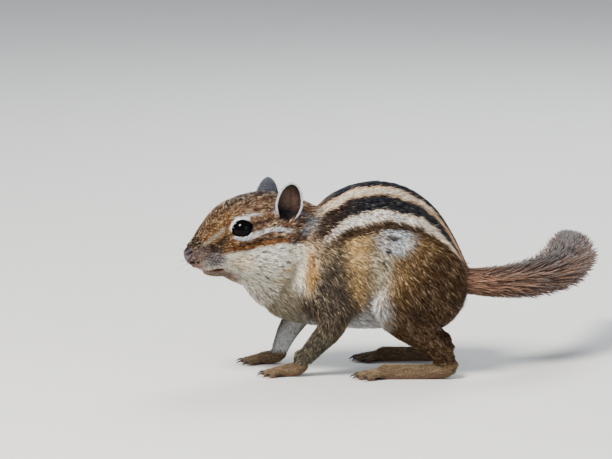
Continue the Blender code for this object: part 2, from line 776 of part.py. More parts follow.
def whisker(side, back, down):
    """A three-sided whisker from inside its patch to its tip, at shares of the way back and down the rows."""
    shares = np.array((1.0, back, down))
    root = shares @ np.array(WHISKER_ROOTS)
    way = shares @ np.array(WHISKER_WAYS)
    way /= np.linalg.norm(way)
    reach = WHISKER_LENGTH[0] + (WHISKER_LENGTH[1] - WHISKER_LENGTH[0]) * back
    angles = np.linspace(0, 2 * math.pi, 3, endpoint=False)
    rings = []
    for share, radius in zip((0, 0.5, 1), WHISKER_RADII):
        centre = root + way * reach * share - UPWARD * WHISKER_DROOP * reach * share**2
        across = np.cross(way, UPWARD)
        lift = np.cross(across, way)
        ring = [centre + radius * (math.cos(a) * across + math.sin(a) * lift) for a in angles]
        rings.append([mirrored(point, side) for point in ring])
    return loft("whisker", rings, head_frame())


def take_whiskers(head, side):
    """Parts a whisker patch from the muzzle and roots its whiskers in it."""
    at, radii = WHISKER_CUT
    patch = take_patch(head, f"whiskers_{SIDE_NAMES[side]}", mirrored(at, side), radii, PATCH_SEGMENTS)
    for back in np.linspace(0, 1, WHISKERS_IN_ROW):
        for down in np.linspace(0, 1, WHISKER_ROWS):
            boolean(patch, whisker(side, back, down), "UNION")
    return keep_largest(patch)


def mouth_groove(head):
    """A thin tube along the mouth line, brought onto the surface of the head."""
    bm = bmesh.new()
    bm.from_mesh(head.data)
    surface = BVHTree.FromBMesh(bm)
    bm.free()
    right = [mirrored(p, RIGHT) for p in reversed(MOUTH_LINE[1:])]
    rows = []
    for place in (*right, *MOUTH_LINE):
        found = surface.find_nearest((head_frame() @ Vector(place)) * MM)[0] / MM
        rows.append((*found, MOUTH_GROOVE))
    return tube("groove", rows, sides=6, steps=1)


def part_head(head):
    """Sets the eyes, ears and nose into the head, each in a space of its own."""
    for side in (LEFT, RIGHT):
        name = SIDE_NAMES[side]
        at = mirrored(EYE_AT, side)
        finish(ellipsoid(f"eye_{name}", at, (EYE_RADIUS,) * 3, head_frame(), EYE_SEGMENTS), "eye_gloss")
        socket = ellipsoid("socket", at, (EYE_RADIUS + GAP,) * 3, head_frame(), EYE_SEGMENTS)
        boolean(head, socket, "DIFFERENCE")
        finish(ear_cup(f"ear_{name}", side, 0.0, True), "ear_skin")
        boolean(head, ear_cup("ear_space", side, GAP, False), "DIFFERENCE")
    boolean(keep_largest(head), mouth_groove(head), "DIFFERENCE")
    finish(take_nose(head), "nose_skin")
    for side in (LEFT, RIGHT):
        finish(take_whiskers(head, side), "brown_coat")
    finish(keep_largest(head), "brown_coat")


def part_trunk(trunk):
    """Parts the legs and the neck from the trunk, and makes the paws under the legs."""
    for side in (LEFT, RIGHT):
        name, foreleg = SIDE_NAMES[side], foreleg_of(side)
        finish(take_leg(trunk, f"foreleg_{name}", foreleg, SHOULDER_CUT, side, WRIST_Z), "brown_coat")
        finish(take_leg(trunk, f"hind_leg_{name}", HIND_LEG, HAUNCH_CUT, side, ANKLE_Z), "brown_coat")
        fore = paw(f"forepaw_{name}", foreleg, FORE_PALM, FORE_TOES, side, WRIST_Z, FOREPAW_TRIANGLES)
        finish(fore, "paw_skin")
        hind = paw(f"hind_foot_{name}", HIND_LEG, HIND_PALM, HIND_TOES, side, ANKLE_Z, HIND_FOOT_TRIANGLES)
        finish(hind, "paw_skin")
    neck = copy_of(trunk, "neck")
    part_at_plane(neck, trunk, NECK_PLANE)
    trunk.name = "torso"
    finish(neck, "brown_coat")
    finish(trunk, "striped_coat")


def part_at_plane(front, rear, plane):
    """Keeps one of two like meshes in front of a plane and the other behind it."""
    point, normal = Vector(plane[0]), Vector(plane[1]).normalized()
    keep_side(front, point + normal * GAP / 2, normal)
    keep_side(rear, point - normal * GAP / 2, -normal)


def add_tail(body):
    """Sets the tail's three lengths in a recess of the rump."""
    tail = Tail()
    boolean(body, tail.core("tail_space", *TAIL_RECESS, GAP), "DIFFERENCE")
    draw = np.random.default_rng(TAIL_SEED)
    for name, start, end in zip(TAIL_NAMES, TAIL_ENDS, TAIL_ENDS[1:]):
        finish(tail.length(name, start, end, draw), "tail_hair")


def settle():
    """Moves the whole animal so that the middle of its bounding box stands over the origin, soles at Z 0."""
    made = [obj for obj in bpy.data.objects if obj.type == "MESH"]
    points = np.vstack([points_of(obj) for obj in made])
    middle = (points.min(axis=0) + points.max(axis=0)) / 2
    shift = np.array((middle[0], middle[1], points[:, 2].min()))
    for obj in made:
        set_points(obj, points_of(obj) - shift)


def main():
    clear_scene()
    body = body_of_flesh()
    face = smooth_step(to_head(points_of(body))[:, 0], *FACE_BLEND)
    head = thinned(copy_of(body, "head"), FACE_BODY_TRIANGLES, 1 - FACE_KEEPS * face)
    thinned(body, BODY_TRIANGLES)
    part_at_plane(head, body, HEAD_PLANE)
    add_tail(body)
    part_head(head)
    part_trunk(body)
    settle()


main()
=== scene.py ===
import math

import bmesh
import bpy
import numpy as np
from mathutils import Matrix, Vector, noise
from mathutils.bvhtree import BVHTree


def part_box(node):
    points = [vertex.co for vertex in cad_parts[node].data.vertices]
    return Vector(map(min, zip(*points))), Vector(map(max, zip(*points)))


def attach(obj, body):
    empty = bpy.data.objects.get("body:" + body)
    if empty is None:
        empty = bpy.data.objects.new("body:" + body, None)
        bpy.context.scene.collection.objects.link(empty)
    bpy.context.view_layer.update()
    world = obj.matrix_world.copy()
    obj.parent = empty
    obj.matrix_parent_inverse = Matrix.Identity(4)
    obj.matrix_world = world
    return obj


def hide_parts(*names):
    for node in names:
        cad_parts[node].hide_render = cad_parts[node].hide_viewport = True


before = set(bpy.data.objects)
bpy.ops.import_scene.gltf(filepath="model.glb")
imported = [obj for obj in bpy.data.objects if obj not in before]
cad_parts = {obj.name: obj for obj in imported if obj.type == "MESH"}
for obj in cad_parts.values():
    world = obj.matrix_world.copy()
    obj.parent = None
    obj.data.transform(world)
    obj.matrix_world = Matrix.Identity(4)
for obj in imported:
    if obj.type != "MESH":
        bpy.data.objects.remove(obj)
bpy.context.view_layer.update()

# The looks of a life-size Siberian chipmunk. Sizes are in millimetres in the animal's own frame: it faces -X,
# its left side faces -Y, its middle is y 0 and its soles are at z 0. The meshes themselves are in metres.
mm = 0.001
left, right = -1, 1
sideNames = {left: "left", right: "right"}
draw = np.random.default_rng(11)

head = dict(joint=(-11.0, 0.0, 50.5), yaw=22.0, roll=3.0, noseTip=(45.5, 0.0, -5.0))
eye = dict(at=(25.4, 7.7, 3.4), radius=4.2, looks=(0.32, 0.92, 0.22), halfLong=3.3, halfHigh=2.8,
           frontCorner=0.6, rearCorner=0.45, lidHeight=2.0, lidRoll=0.3, blend=(4.6, 8.2))
ear = dict(at=(8.5, 11.2, 11.2), halfLength=8.7, halfWidth=4.9, cup=3.7, wall=0.55, rim=0.9,
           baseShare=0.62, opens=(0.30, 0.94, 0.12), points=(-0.16, 0.14, 1.0))
mouth = dict(line=((41.0, 0.0, -10.2), (39.0, 2.0, -10.5), (36.6, 3.2, -11.0), (34.4, 3.9, -11.2),
                   (32.6, 4.5, -11.2), (30.4, 5.4, -10.8)), depth=0.75, width=0.38, lip=0.25)
nose = dict(at=(44.8, 0.0, -4.9), radii=(3.9, 3.3, 2.9), nostril=((45.0, 1.1, -5.4), (44.3, 2.1, -5.0), (43.2, 2.9, -4.2)),
            groove=((45.2, 0, -6.2), (44.2, 0, -8.0), (42.6, 0, -9.4), (41.2, 0, -10.2)))
whiskerPad = dict(at=(36.2, 2.8, -7.4), radii=(5.4, 3.5, 4.0))


# Small sums that the rest uses

def smoothStep(value, low, high):
    t = np.clip((value - low) / (high - low), 0, 1)
    return t * t * (3 - 2 * t)


def unit(vectors):
    return vectors / (np.linalg.norm(vectors, axis=-1, keepdims=True) + 1e-12)


def smoothRows(rows, steps):
    # a smooth curve through the rows, with some steps between each pair
    rows = np.asarray(rows, float)
    padded = np.vstack([2 * rows[0] - rows[1], rows, 2 * rows[-1] - rows[-2]])
    found = []
    for i in range(1, len(padded) - 2):
        before, start, end, after = padded[i - 1 : i + 3]
        for t in np.arange(steps) / steps:
            bend = (2 * before - 5 * start + 4 * end - after) * t**2
            twist = (3 * start - before - 3 * end + after) * t**3
            found.append(start + 0.5 * ((end - before) * t + bend + twist))
    found.append(rows[-1])
    return np.array(found)


def onSide(place, side):
    # a place given for the left of the head, on either side
    return np.array((place[0], -side * place[1], place[2]), float)


def headPlace():
    yaw = math.radians(head["yaw"])
    forward = Vector((-math.cos(yaw), -math.sin(yaw), 0))
    toLeft = Vector((math.sin(yaw), -math.cos(yaw), 0))
    straight = Matrix((forward, toLeft, Vector((0, 0, 1)))).transposed()
    turned = Matrix.Rotation(math.radians(head["roll"]), 3, forward) @ straight
    return Matrix.Translation(head["joint"]) @ turned.to_4x4()


def earPlace(side):
    # across the ear, out of its cup, and towards its tip
    tip = Vector(onSide(ear["points"], side)).normalized()
    opens = Vector(onSide(ear["opens"], side))
    opens = (opens - tip * opens.dot(tip)).normalized()
    turn = Matrix((opens.cross(tip), opens, tip)).transposed().to_4x4()
    return headPlace() @ Matrix.Translation(onSide(ear["at"], side)) @ turn


def moved(points, place):
    place = np.array(place)
    return points @ place[:3, :3].T + place[:3, 3]


def turned(vectors, place):
    return vectors @ np.array(place)[:3, :3].T


def toHead(points):
    return moved(points, headPlace().inverted())


def standPlace():
    # where the animal's own zero stands in the frame, read off its left eye
    low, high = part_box("eye_left")
    return np.array((low + high) / 2) / mm - moved(onSide(eye["at"], left), headPlace())


stand = standPlace()
toMetres = Matrix.Scale(mm, 4) @ Matrix.Translation(stand)


def lineDistance(points, line):
    # each point's distance from a chain of straight runs, and how far along the chain it is, from 0 to 1
    nearest = np.full(len(points), np.inf)
    along = np.zeros(len(points))
    runs = len(line) - 1
    for i, (start, end) in enumerate(zip(line, line[1:])):
        start, run = np.array(start, float), np.subtract(end, start)
        share = np.clip((points - start) @ run / (run @ run), 0, 1)
        away = np.linalg.norm(points - start - share[:, None] * run, axis=1)
        closer = away < nearest
        nearest[closer] = away[closer]
        along[closer] = (i + share[closer]) / runs
    return nearest, along


def cloudy(points, scale, offset=0.0):
    # smooth noise from about -1 to 1, with lumps of this size in millimetres, one number or one for each axis
    return np.array([noise.noise(Vector(p)) for p in points / np.array(scale) + offset]) * 1.6


# Meshes and objects

def objectOf(name, bm):
    mesh = bpy.data.meshes.new(name)
    bm.to_mesh(mesh)
    bm.free()
    obj = bpy.data.objects.new(name, mesh)
    bpy.context.scene.collection.objects.link(obj)
    return obj


def applyModifiers(obj):
    graph = bpy.context.evaluated_depsgraph_get()
    made = bpy.data.meshes.new_from_object(obj.evaluated_get(graph))
    obj.modifiers.clear()
    old, obj.data = obj.data, made
    bpy.data.meshes.remove(old)
    made.name = obj.name
    return obj


def pointsOf(obj):
    flat = np.empty(len(obj.data.vertices) * 3)
    obj.data.vertices.foreach_get("co", flat)
    return flat.reshape(-1, 3) / mm - stand


def setPoints(obj, points):
    obj.data.vertices.foreach_set("co", ((points + stand) * mm).ravel())
    obj.data.update()


def normalsOf(obj):
    flat = np.empty(len(obj.data.vertices) * 3)
    obj.data.vertex_normals.foreach_get("vector", flat)
    return flat.reshape(-1, 3)


def edgesOf(obj):
    flat = np.empty(len(obj.data.edges) * 2, np.int32)
    obj.data.edges.foreach_get("vertices", flat)
    return flat.reshape(-1, 2)


def spread(values, edges, times):
    # each value becomes the mean of itself and its neighbours', this many times
    first, second = edges.T
    count = np.bincount(edges.ravel(), minlength=len(values)) + 1.0
    for _ in range(times):
        for column in values.T:
            near = np.bincount(first, column[second], len(column)) + np.bincount(second, column[first], len(column))
            column[:] = (column + near) / count
    return values


def softened(obj, times, weights):
    modifier = obj.modifiers.new("Soften", "SMOOTH")
    modifier.factor = 0.5
    modifier.iterations = times
    group = obj.vertex_groups.new(name="soften")
    steps = np.round(weights, 1)
    for step in np.unique(steps):
        group.add(np.flatnonzero(steps == step).tolist(), float(step), "REPLACE")
    modifier.vertex_group = group.name
    applyModifiers(obj)
    obj.vertex_groups.clear()
    return obj


def addTube(bm, rows, sides=16, roundEnds=True, flatten=1.0):
    # a closed round tube along rows of x, y, z and radius
    rows = np.asarray(rows, float)
    ahead = unit(np.gradient(rows[:, :3], axis=0))
    stations = [(row[:3], way, row[3]) for row, way in zip(rows, ahead)]
    if roundEnds:
        for share, reach in ((0.8, 0.6), (0.44, 0.9)):
            stations.insert(0, (rows[0, :3] - ahead[0] * rows[0, 3] * reach, ahead[0], rows[0, 3] * share))
            stations.append((rows[-1, :3] + ahead[-1] * rows[-1, 3] * reach, ahead[-1], rows[-1, 3] * share))
    loops = []
    for at, way, radius in stations:
        turn = Vector(way).to_track_quat("Z", "Y").to_matrix().to_4x4()
        place = toMetres @ Matrix.Translation(at) @ turn @ Matrix.Diagonal((radius, radius * flatten, radius, 1))
        ring = bmesh.ops.create_circle(bm, segments=sides, radius=1, matrix=place)["verts"]
        loops.append(list({e for v in ring for e in v.link_edges}))
    faces = []
    for first, second in zip(loops, loops[1:]):
        faces += bmesh.ops.bridge_loops(bm, edges=first + second)["faces"]
    for loop in (loops[0], loops[-1]):
        faces += bmesh.ops.edgeloop_fill(bm, edges=loop)["faces"]
    bmesh.ops.recalc_face_normals(bm, faces=faces)


def addBall(bm, at, radii, place=None, segments=24):
    put = toMetres @ (place or Matrix.Identity(4)) @ Matrix.Translation(at) @ Matrix.Diagonal((*radii, 1))
    bmesh.ops.create_uvsphere(bm, u_segments=segments, v_segments=segments * 2 // 3, radius=1, matrix=put)


# The tail's curve: its core goes into the skin, and its long hair follows the same curve

tail = dict(
    path=((43, 0, 34), (52, 0.4, 32.6), (63, 4, 31.8), (73.5, 12, 31.6), (82, 23.5, 32), (87.5, 37, 33),
          (90.5, 52, 34), (91.5, 67, 35), (91, 82, 36), (89, 94, 36.5), (86.5, 104, 36.8)),
    # distance from the root, half width and half height of the core, reach of the hair sideways and upright
    shape=((0, 4.4, 4.2, 0.4, 0.4), (8, 4.2, 3.7, 1.5, 1.0), (22, 3.4, 2.8, 5.0, 3.0), (40, 3.0, 2.3, 7.2, 4.2),
           (68, 2.6, 2.0, 7.6, 4.4), (84, 2.0, 1.6, 7.2, 4.0), (94, 1.4, 1.2, 5.6, 3.2), (112, 0.4, 0.4, 1.6, 1.2)),
    coreEnd=95.0,
)


class TailCurve:
    def __init__(self):
        self.centres = smoothRows(tail["path"], 12)
        steps = np.linalg.norm(np.diff(self.centres, axis=0), axis=1)
        self.along = np.concatenate([[0], np.cumsum(steps)])
        self.ahead = unit(np.gradient(self.centres, axis=0))
        self.shape = smoothRows(tail["shape"], 6)

    def rows(self, s, values):
        return np.stack([np.interp(s, self.along, column) for column in values.T], -1)

    def axes(self, s):
        ahead = unit(self.rows(s, self.ahead))
        across = unit(np.cross((0.0, 0.0, 1.0), ahead))
        return ahead, across, np.cross(ahead, across)

    def size(self, s):
        return np.stack([np.interp(s, self.shape[:, 0], self.shape[:, i]) for i in range(1, 5)], -1)

    def point(self, s, angle, height):
        # points over the core, at an angle round the tail
        _, across, up = self.axes(s)
        size = self.size(s)
        wide = (np.cos(angle) * (size[..., 0] + height))[..., None] * across
        high = (np.sin(angle) * (size[..., 1] + height))[..., None] * up
        return self.rows(s, self.centres) + wide + high

    def locate(self, points):
        # distance along the tail, angle round it, and distance from its middle
        away = np.linalg.norm(points[:, None] - self.centres[None, ::2], axis=2)
        nearest = away.argmin(1) * 2
        s = self.along[nearest]
        offset = points - self.centres[nearest]
        ahead, across, up = self.axes(s)
        s = s + (offset * ahead).sum(1)
        return s, np.arctan2((offset * up).sum(1), (offset * across).sum(1)), away.min(1)


tailCurve = TailCurve()


# The skin: one closed mesh from the solids of flesh, with finer paws, a tail core, ears and a face

skinPlan = dict(
    nodes=["head", "nose", "neck", "torso", "foreleg_left", "foreleg_right", "hind_leg_left", "hind_leg_right"],
    paws=["forepaw_left", "forepaw_right", "hind_foot_left", "hind_foot_right"],
    gapFill=0.22, voxel=0.5, softening=14, thinTo=0.37,
    depth=dict(head=0.45, trunk=0.85, leg=0.6, foot=0.0, tail=0.0),
)

# Paws: where the leg ends, then palm rows of distance forward, height and radius, and toes of fan angle and length
paws = dict(
    fore=dict(at={left: (-10.5, -13.0), right: (-18.5, 11.5)},
              palm=((0, 7.5, 3.0), (0.4, 4.0, 2.9), (3.0, 2.4, 2.5), (6.0, 2.0, 2.2)),
              toes=((-30, 5.2), (-11, 6.6), (9, 6.8), (28, 5.4)), broad=2.6, toeRadius=1.0, claw=2.9),
    hind=dict(at={left: (42.0, -17.5), right: (42.0, 17.5)},
              palm=((0, 8.5, 3.2), (-0.8, 3.9, 3.0), (5, 2.5, 2.7), (14, 2.2, 2.7), (22, 2.1, 2.9)),
              toes=((-27, 6.2), (-13, 8.8), (0, 9.6), (12, 9.0), (28, 6.6)), broad=3.3, toeRadius=1.05, claw=2.7),
)


def toesOf(paw, side):
    # each toe's root on the floor plan, its direction and its length
    x, y = paw["at"][side]
    front = x - paw["palm"][-1][0]
    for fan, length in paw["toes"]:
        angle = math.radians(fan)
        ahead = np.array((-math.cos(angle), side * math.sin(angle), 0))
        root = np.array((front, y + side * paw["broad"] * 1.2 * angle, 0)) + ahead * paw["broad"] * 0.2
        yield root, ahead, length


def addPaws(bm):
    for paw in paws.values():
        for side in (left, right):
            x, y = paw["at"][side]
            addTube(bm, smoothRows([(x - forward, y, z, r) for forward, z, r in paw["palm"]], 3))
            for root, ahead, length in toesOf(paw, side):
                r = paw["toeRadius"]
                knuckles = ((0, 1.75, 1.05), (0.3, 2.1, 1.0), (0.55, 1.75, 0.88), (0.78, 1.3, 1.02), (1.0, 0.95, 0.8))
                rows = [(*(root + ahead * length * share)[:2], z, r * size) for share, z, size in knuckles]
                addTube(bm, smoothRows(rows, 3), sides=12)
                addBall(bm, (*(root + ahead * length * 0.8)[:2], 0.75), (1.0, 0.8, 0.7), segments=12)
            addBall(bm, (x - paw["palm"][-1][0], y, 1.0), (2.2, 2.4, 0.95), segments=16)


def fleshMesh():
    bm = bmesh.new()
    for name in skinPlan["nodes"]:
        part = bmesh.new()
        part.from_mesh(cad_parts[name].data)
        bmesh.ops.remove_doubles(part, verts=part.verts, dist=1e-6)
        part.normal_update()
        for vert in part.verts:
            vert.co += vert.normal * skinPlan["gapFill"] * mm
        copied = bpy.data.meshes.new("copied")
        part.to_mesh(copied)
        part.free()
        bm.from_mesh(copied)
        bpy.data.meshes.remove(copied)
    for side in (left, right):
        addBall(bm, onSide(eye["at"], side), (eye["radius"] - 0.1,) * 3, headPlace())
        addBall(bm, onSide((9.0, 6.6, 3.6), side), (4.4, 3.0, 5.0), headPlace())  # closes the place of the ear
        addBall(bm, onSide(whiskerPad["at"], side), whiskerPad["radii"], headPlace())
    addBall(bm, (44, 0, 34), (7, 5.5, 5.5))  # closes the recess of the tail
    addPaws(bm)
    stations = np.linspace(-6, tail["coreEnd"], 40)
    rows = [(*tailCurve.point(s, 0, 0), 1) for s in stations]
    sizes = tailCurve.size(stations)
    centres = tailCurve.rows(stations, tailCurve.centres)
    addTube(bm, [(*c, w) for c, w in zip(centres, sizes[:, 1])], sides=20)
    for offset in (-0.5, 0.5):  # the core is wider than high
        across = tailCurve.axes(stations)[1] * offset * (sizes[:, :1] - sizes[:, 1:2]) * 2
        addTube(bm, [(*c, w) for c, w in zip(centres + across, sizes[:, 1] * 0.96)], sides=20)
    return objectOf("skin", bm)


def refine(obj, places, reach):
    # halves the faces near some places of the head
    atHead = toHead(pointsOf(obj)) * (1, 1, 1)
    near = np.zeros(len(atHead), bool)
    for place in places:
        for side in (left, right):
            near |= np.linalg.norm(atHead - onSide(place, side), axis=1) < reach
    bm = bmesh.new()
    bm.from_mesh(obj.data)
    edges = [e for e in bm.edges if near[e.verts[0].index] and near[e.verts[1].index]]
    bmesh.ops.subdivide_edges(bm, edges=edges, cuts=1, use_grid_fill=True)
    bm.to_mesh(obj.data)
    bm.free()


maskNames = ("head", "trunk", "foreleg", "hindLeg", "forepaw", "hindFoot", "tail", "ear")
nodeMask = dict(head=0, nose=0, neck=1, torso=1, foreleg=2, hind_leg=3, forepaw=4, hind_foot=5)


def nodeTree():
    # a search tree over the solids of flesh, with the mask that each face belongs to
    corners, faces, owners = [], [], []
    for name in skinPlan["nodes"] + skinPlan["paws"]:
        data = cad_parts[name].data
        base = len(corners)
        corners += [v.co[:] for v in data.vertices]
        faces += [[base + i for i in p.vertices] for p in data.polygons]
        key = name.replace("_left", "").replace("_right", "")
        owners += [nodeMask[key]] * len(data.polygons)
    return BVHTree.FromPolygons(corners, faces), owners


def earCoordinates(points, side):
    # a point in an ear's own frame, with the share of the way out to its wall
    place = moved(points, earPlace(side).inverted())
    taper = ear["baseShare"] + (1 - ear["baseShare"]) * smoothStep(place[:, 2] / ear["halfLength"], -1.0, 0.1)
    wall = (place[:, 0] / (ear["halfWidth"] * taper)) ** 2 + (place[:, 1] / ear["cup"]) ** 2
    return place, np.sqrt(wall + (place[:, 2] / ear["halfLength"]) ** 2)


def masksOf(obj):
    # how far each point belongs to each part of the animal, blended across the borders
    tree, owners = nodeTree()
    points = pointsOf(obj)
    masks = np.zeros((len(points), len(maskNames)))
    places = (points + stand) * mm
    owner = np.array([owners[tree.find_nearest(p)[2]] for p in places])
    s, _, away = tailCurve.locate(points)
    owner[(s > 3.5) & (away < 7) & (points[:, 0] > 46)] = maskNames.index("tail")
    masks[np.arange(len(points)), owner] = 1
    masks = spread(masks, edgesOf(obj), 8)
    atHead = toHead(points)
    for side in (left, right):
        place, wall = earCoordinates(points, side)
        isEar = (wall < 1.25) & (wall > 0.5) & (place[:, 2] > -8.2) & (place[:, 1] < ear["rim"] + 0.5)
        isEar &= (side * atHead[:, 1] < 0) & (atHead[:, 2] > 5.5)
        masks[isEar] = np.eye(len(maskNames))[7]
    return masks


def turnFrom(angle, middle):
    # how far an angle is from another, in degrees
    return np.abs((angle - middle + 180) % 360 - 180)


def eyePolar(points, side):
    # depth along the way that the eye looks, distance and angle round it (0 forward, 90 up), and its opening there
    axis = unit(onSide(eye["looks"], side))
    offset = points - onSide(eye["at"], side)
    depth = offset @ axis
    across = offset - depth[:, None] * axis
    forward = unit(np.array((1.0, 0, 0)) - axis[0] * axis)
    up = np.cross(axis, forward)
    up = up * np.sign(up[2])
    angle = np.arctan2(across @ up, across @ forward)
    opening = 1 / np.hypot(np.cos(angle) / eye["halfLong"], np.sin(angle) / eye["halfHigh"])
    angle = np.degrees(angle)
    opening = opening + eye["frontCorner"] * np.exp(-((turnFrom(angle, -20) / 20) ** 2))
    opening = opening + eye["rearCorner"] * np.exp(-((turnFrom(angle, 168) / 20) ** 2))
    return depth, np.linalg.norm(across, axis=1), angle, opening


def shapeLids(points, side):
    # sets the skin round an eye: an almond opening that hugs the ball, a rolled lid, then the face
    axis = unit(onSide(eye["looks"], side))
    depth, radius, angle, opening = eyePolar(points, side)
    edge = np.sqrt(eye["radius"] ** 2 - opening**2) + 0.06
    out = radius - opening
    roll = eye["lidRoll"] * np.exp(-(((out - 0.3) / 0.28) ** 2)) - 0.16 * np.exp(-(((out - 1.0) / 0.35) ** 2))
    wanted = edge + (eye["lidHeight"] - edge) * smoothStep(out, 0.2, 1.8) + roll
    wanted = np.where(out < 0, edge + 4 * out, wanted)
    share = (1 - smoothStep(radius, *eye["blend"])) * (depth > -1)
    return points + (share * (wanted - depth))[:, None] * axis


def shapeMuzzle(points):
    # sinks the line of the mouth and raises the lips, and makes the nostrils and the groove under the nose
    middle = np.array((0.0, 0.0, -7.5))
    outward = unit((points - middle) * (0, 1, 1) + (1e-6, 0, 0))
    shift = np.zeros(len(points))
    for side in (left, right):
        away, along = lineDistance(points, [onSide(p, side) for p in mouth["line"]])
        fade = 1 - smoothStep(along, 0.8, 1.0)
        shift -= mouth["depth"] * np.exp(-((away / mouth["width"]) ** 2)) * fade
        shift += mouth["lip"] * np.exp(-(((away - 0.95) / 0.4) ** 2)) * fade
    points = points + shift[:, None] * outward
    at, radii = np.array(nose["at"]), np.array(nose["radii"])
    rim = np.linalg.norm((points - at) / radii, axis=1)
    front = points[:, 0] > 39
    crease = 0.16 * np.exp(-(((rim - 1.02) / 0.07) ** 2)) * front
    outward = unit(points - (38.0, 0, -5.4))
    shift = -crease
    groove, _ = lineDistance(points, nose["groove"])
    shift -= 0.38 * np.exp(-((groove / 0.3) ** 2))
    for side in (left, right):
        pit, along = lineDistance(points, [onSide(p, side) for p in nose["nostril"]])
        shift -= (1.1 - 0.6 * along) * np.exp(-((pit / (0.55 - 0.2 * along)) ** 2))
        wing = np.linalg.norm(points - onSide(nose["nostril"][1], side) - (0.2, 0, 1.2), axis=1)
        shift += 0.14 * np.exp(-((wing / 0.7) ** 2))
    return points + shift[:, None] * outward


def earMesh(side):
    bm = bmesh.new()
    bmesh.ops.create_uvsphere(bm, u_segments=32, v_segments=24, radius=1)
    for vert in bm.verts:
        taper = ear["baseShare"] + (1 - ear["baseShare"]) * float(smoothStep(vert.co.z, -1.0, 0.1))
        vert.co.x *= ear["halfWidth"] * taper
        vert.co.y *= ear["cup"]
        vert.co.z *= ear["halfLength"]
    geom = bm.verts[:] + bm.edges[:] + bm.faces[:]
    bmesh.ops.bisect_plane(bm, geom=geom, plane_co=(0, ear["rim"], 0), plane_no=(0, 1, 0), clear_outer=True)
    for vert in bm.verts:  # the rim leans in at the front and rolls out at the back, as a real one does
        low = float(smoothStep(-vert.co.z, 1.0, 7.0))
        vert.co.y += 0.5 * float(smoothStep(vert.co.y, -0.5, ear["rim"])) * (1 - low) * math.cos(vert.co.z * 0.3)
    bmesh.ops.transform(bm, matrix=toMetres @ earPlace(side), verts=bm.verts)
    bmesh.ops.recalc_face_normals(bm, faces=bm.faces)
    cup = objectOf("earCup", bm)
    wall = cup.modifiers.new("Wall", "SOLIDIFY")
    wall.thickness = ear["wall"] * mm
    wall.offset = -1
    round = cup.modifiers.new("Round", "SUBSURF")
    round.levels = round.render_levels = 1
    return applyModifiers(cup)


def largestOnly(obj):
    # drops every closed surface but the largest
    bm = bmesh.new()
    bm.from_mesh(obj.data)
    rest = set(bm.verts)
    islands = []
    while rest:
        found, front = [], [rest.pop()]
        while front:
            vert = front.pop()
            found.append(vert)
            near = {e.other_vert(vert) for e in vert.link_edges} & rest
            rest -= near
            front.extend(near)
        islands.append(found)
    islands.sort(key=len)
    bmesh.ops.delete(bm, geom=[v for island in islands[:-1] for v in island], context="VERTS")
    bm.to_mesh(obj.data)
    bm.free()
    print("closed surfaces:", [len(island) for island in islands])


def thinned(obj, ratio, weights):
    # fewer faces where the weights are high
    group = obj.vertex_groups.new(name="thin")
    group.add(np.flatnonzero(weights > 0.5).tolist(), 1.0, "REPLACE")
    modifier = obj.modifiers.new("Thin", "DECIMATE")
    modifier.ratio = ratio
    modifier.vertex_group = group.name
    applyModifiers(obj)
    obj.vertex_groups.clear()


def treeOf(obj):
    return BVHTree.FromPolygons(pointsOf(obj).tolist(), [p.vertices[:] for p in obj.data.polygons])


def ontoSkin(tree, line):
    # places of the head brought onto the skin
    line = smoothRows(line, 3)
    places = toHead(np.array([tree.find_nearest(p)[0][:] for p in moved(line, headPlace())]))
    places[:, 1] *= line[:, 1] != 0  # what starts on the middle line stays there
    return places


def makeSkin():
    skin = fleshMesh()
    fuse = skin.modifiers.new("Fuse", "REMESH")
    fuse.mode = "VOXEL"
    fuse.voxel_size = skinPlan["voxel"] * mm
    applyModifiers(skin)
    largestOnly(skin)
    points = pointsOf(skin)
    face = smoothStep(toHead(points)[:, 0], 14, 30)
    tailward = smoothStep(points[:, 0], 52, 60)
    low = smoothStep(points[:, 2], 5, 14)
    softened(skin, skinPlan["softening"], (1 - 0.75 * face) * (0.1 + 0.9 * low) * (1 - 0.7 * tailward))
    points = pointsOf(skin)
    furry = (toHead(points)[:, 0] < 8) & (points[:, 2] > 8)
    thinned(skin, skinPlan["thinTo"], furry * 1.0)
    refine(skin, ((26, 9, 3.4), (40, 2, -6), (36, 4, -10)), 7.0)
    refine(skin, ((26.5, 9.5, 3.4), (42.5, 1.5, -6), (36, 3.4, -11)), 5.0)
    masks = masksOf(skin)
    depth = skinPlan["depth"]
    parts = ("head", "trunk", "leg", "leg", "foot", "foot", "tail", "tail")
    inward = masks @ np.array([depth[part] for part in parts])
    inward += skinPlan["gapFill"] * masks[:, :4].sum(1)
    points = pointsOf(skin)
    atHead = toHead(points)
    inward *= 1 - 0.75 * smoothStep(atHead[:, 0], 30, 42) * masks[:, 0]
    points -= inward[:, None] * normalsOf(skin)
    points[:, 2] = np.maximum(points[:, 2], 0.12 + 0.02 * points[:, 2])  # the soles are flat on the floor
    setPoints(skin, points)
    tree = treeOf(skin)
    mouth["line"] = ontoSkin(tree, mouth["line"])
    nose["nostril"] = ontoSkin(tree, nose["nostril"])
    nose["groove"] = ontoSkin(tree, nose["groove"])
    atHead = toHead(points)
    for side in (left, right):
        atHead = shapeLids(atHead, side)
    setPoints(skin, moved(shapeMuzzle(atHead), headPlace()))
    for side in (left, right):
        cup = earMesh(side)
        union = skin.modifiers.new("Ear", "BOOLEAN")
        union.operation = "UNION"
        union.solver = "MANIFOLD"
        union.object = cup
        applyModifiers(skin)
        bpy.data.objects.remove(cup, do_unlink=True)
    skin.data.shade_smooth()
    return skin


skin = makeSkin()
skinMasks = masksOf(skin)
print("skin:", len(skin.data.vertices), "points")


# The markings: a colour for any place of the skin, worked out from where it is on the animal

def tone(r, g, b):
    return (np.array((r, g, b)) / 255) ** 2.2


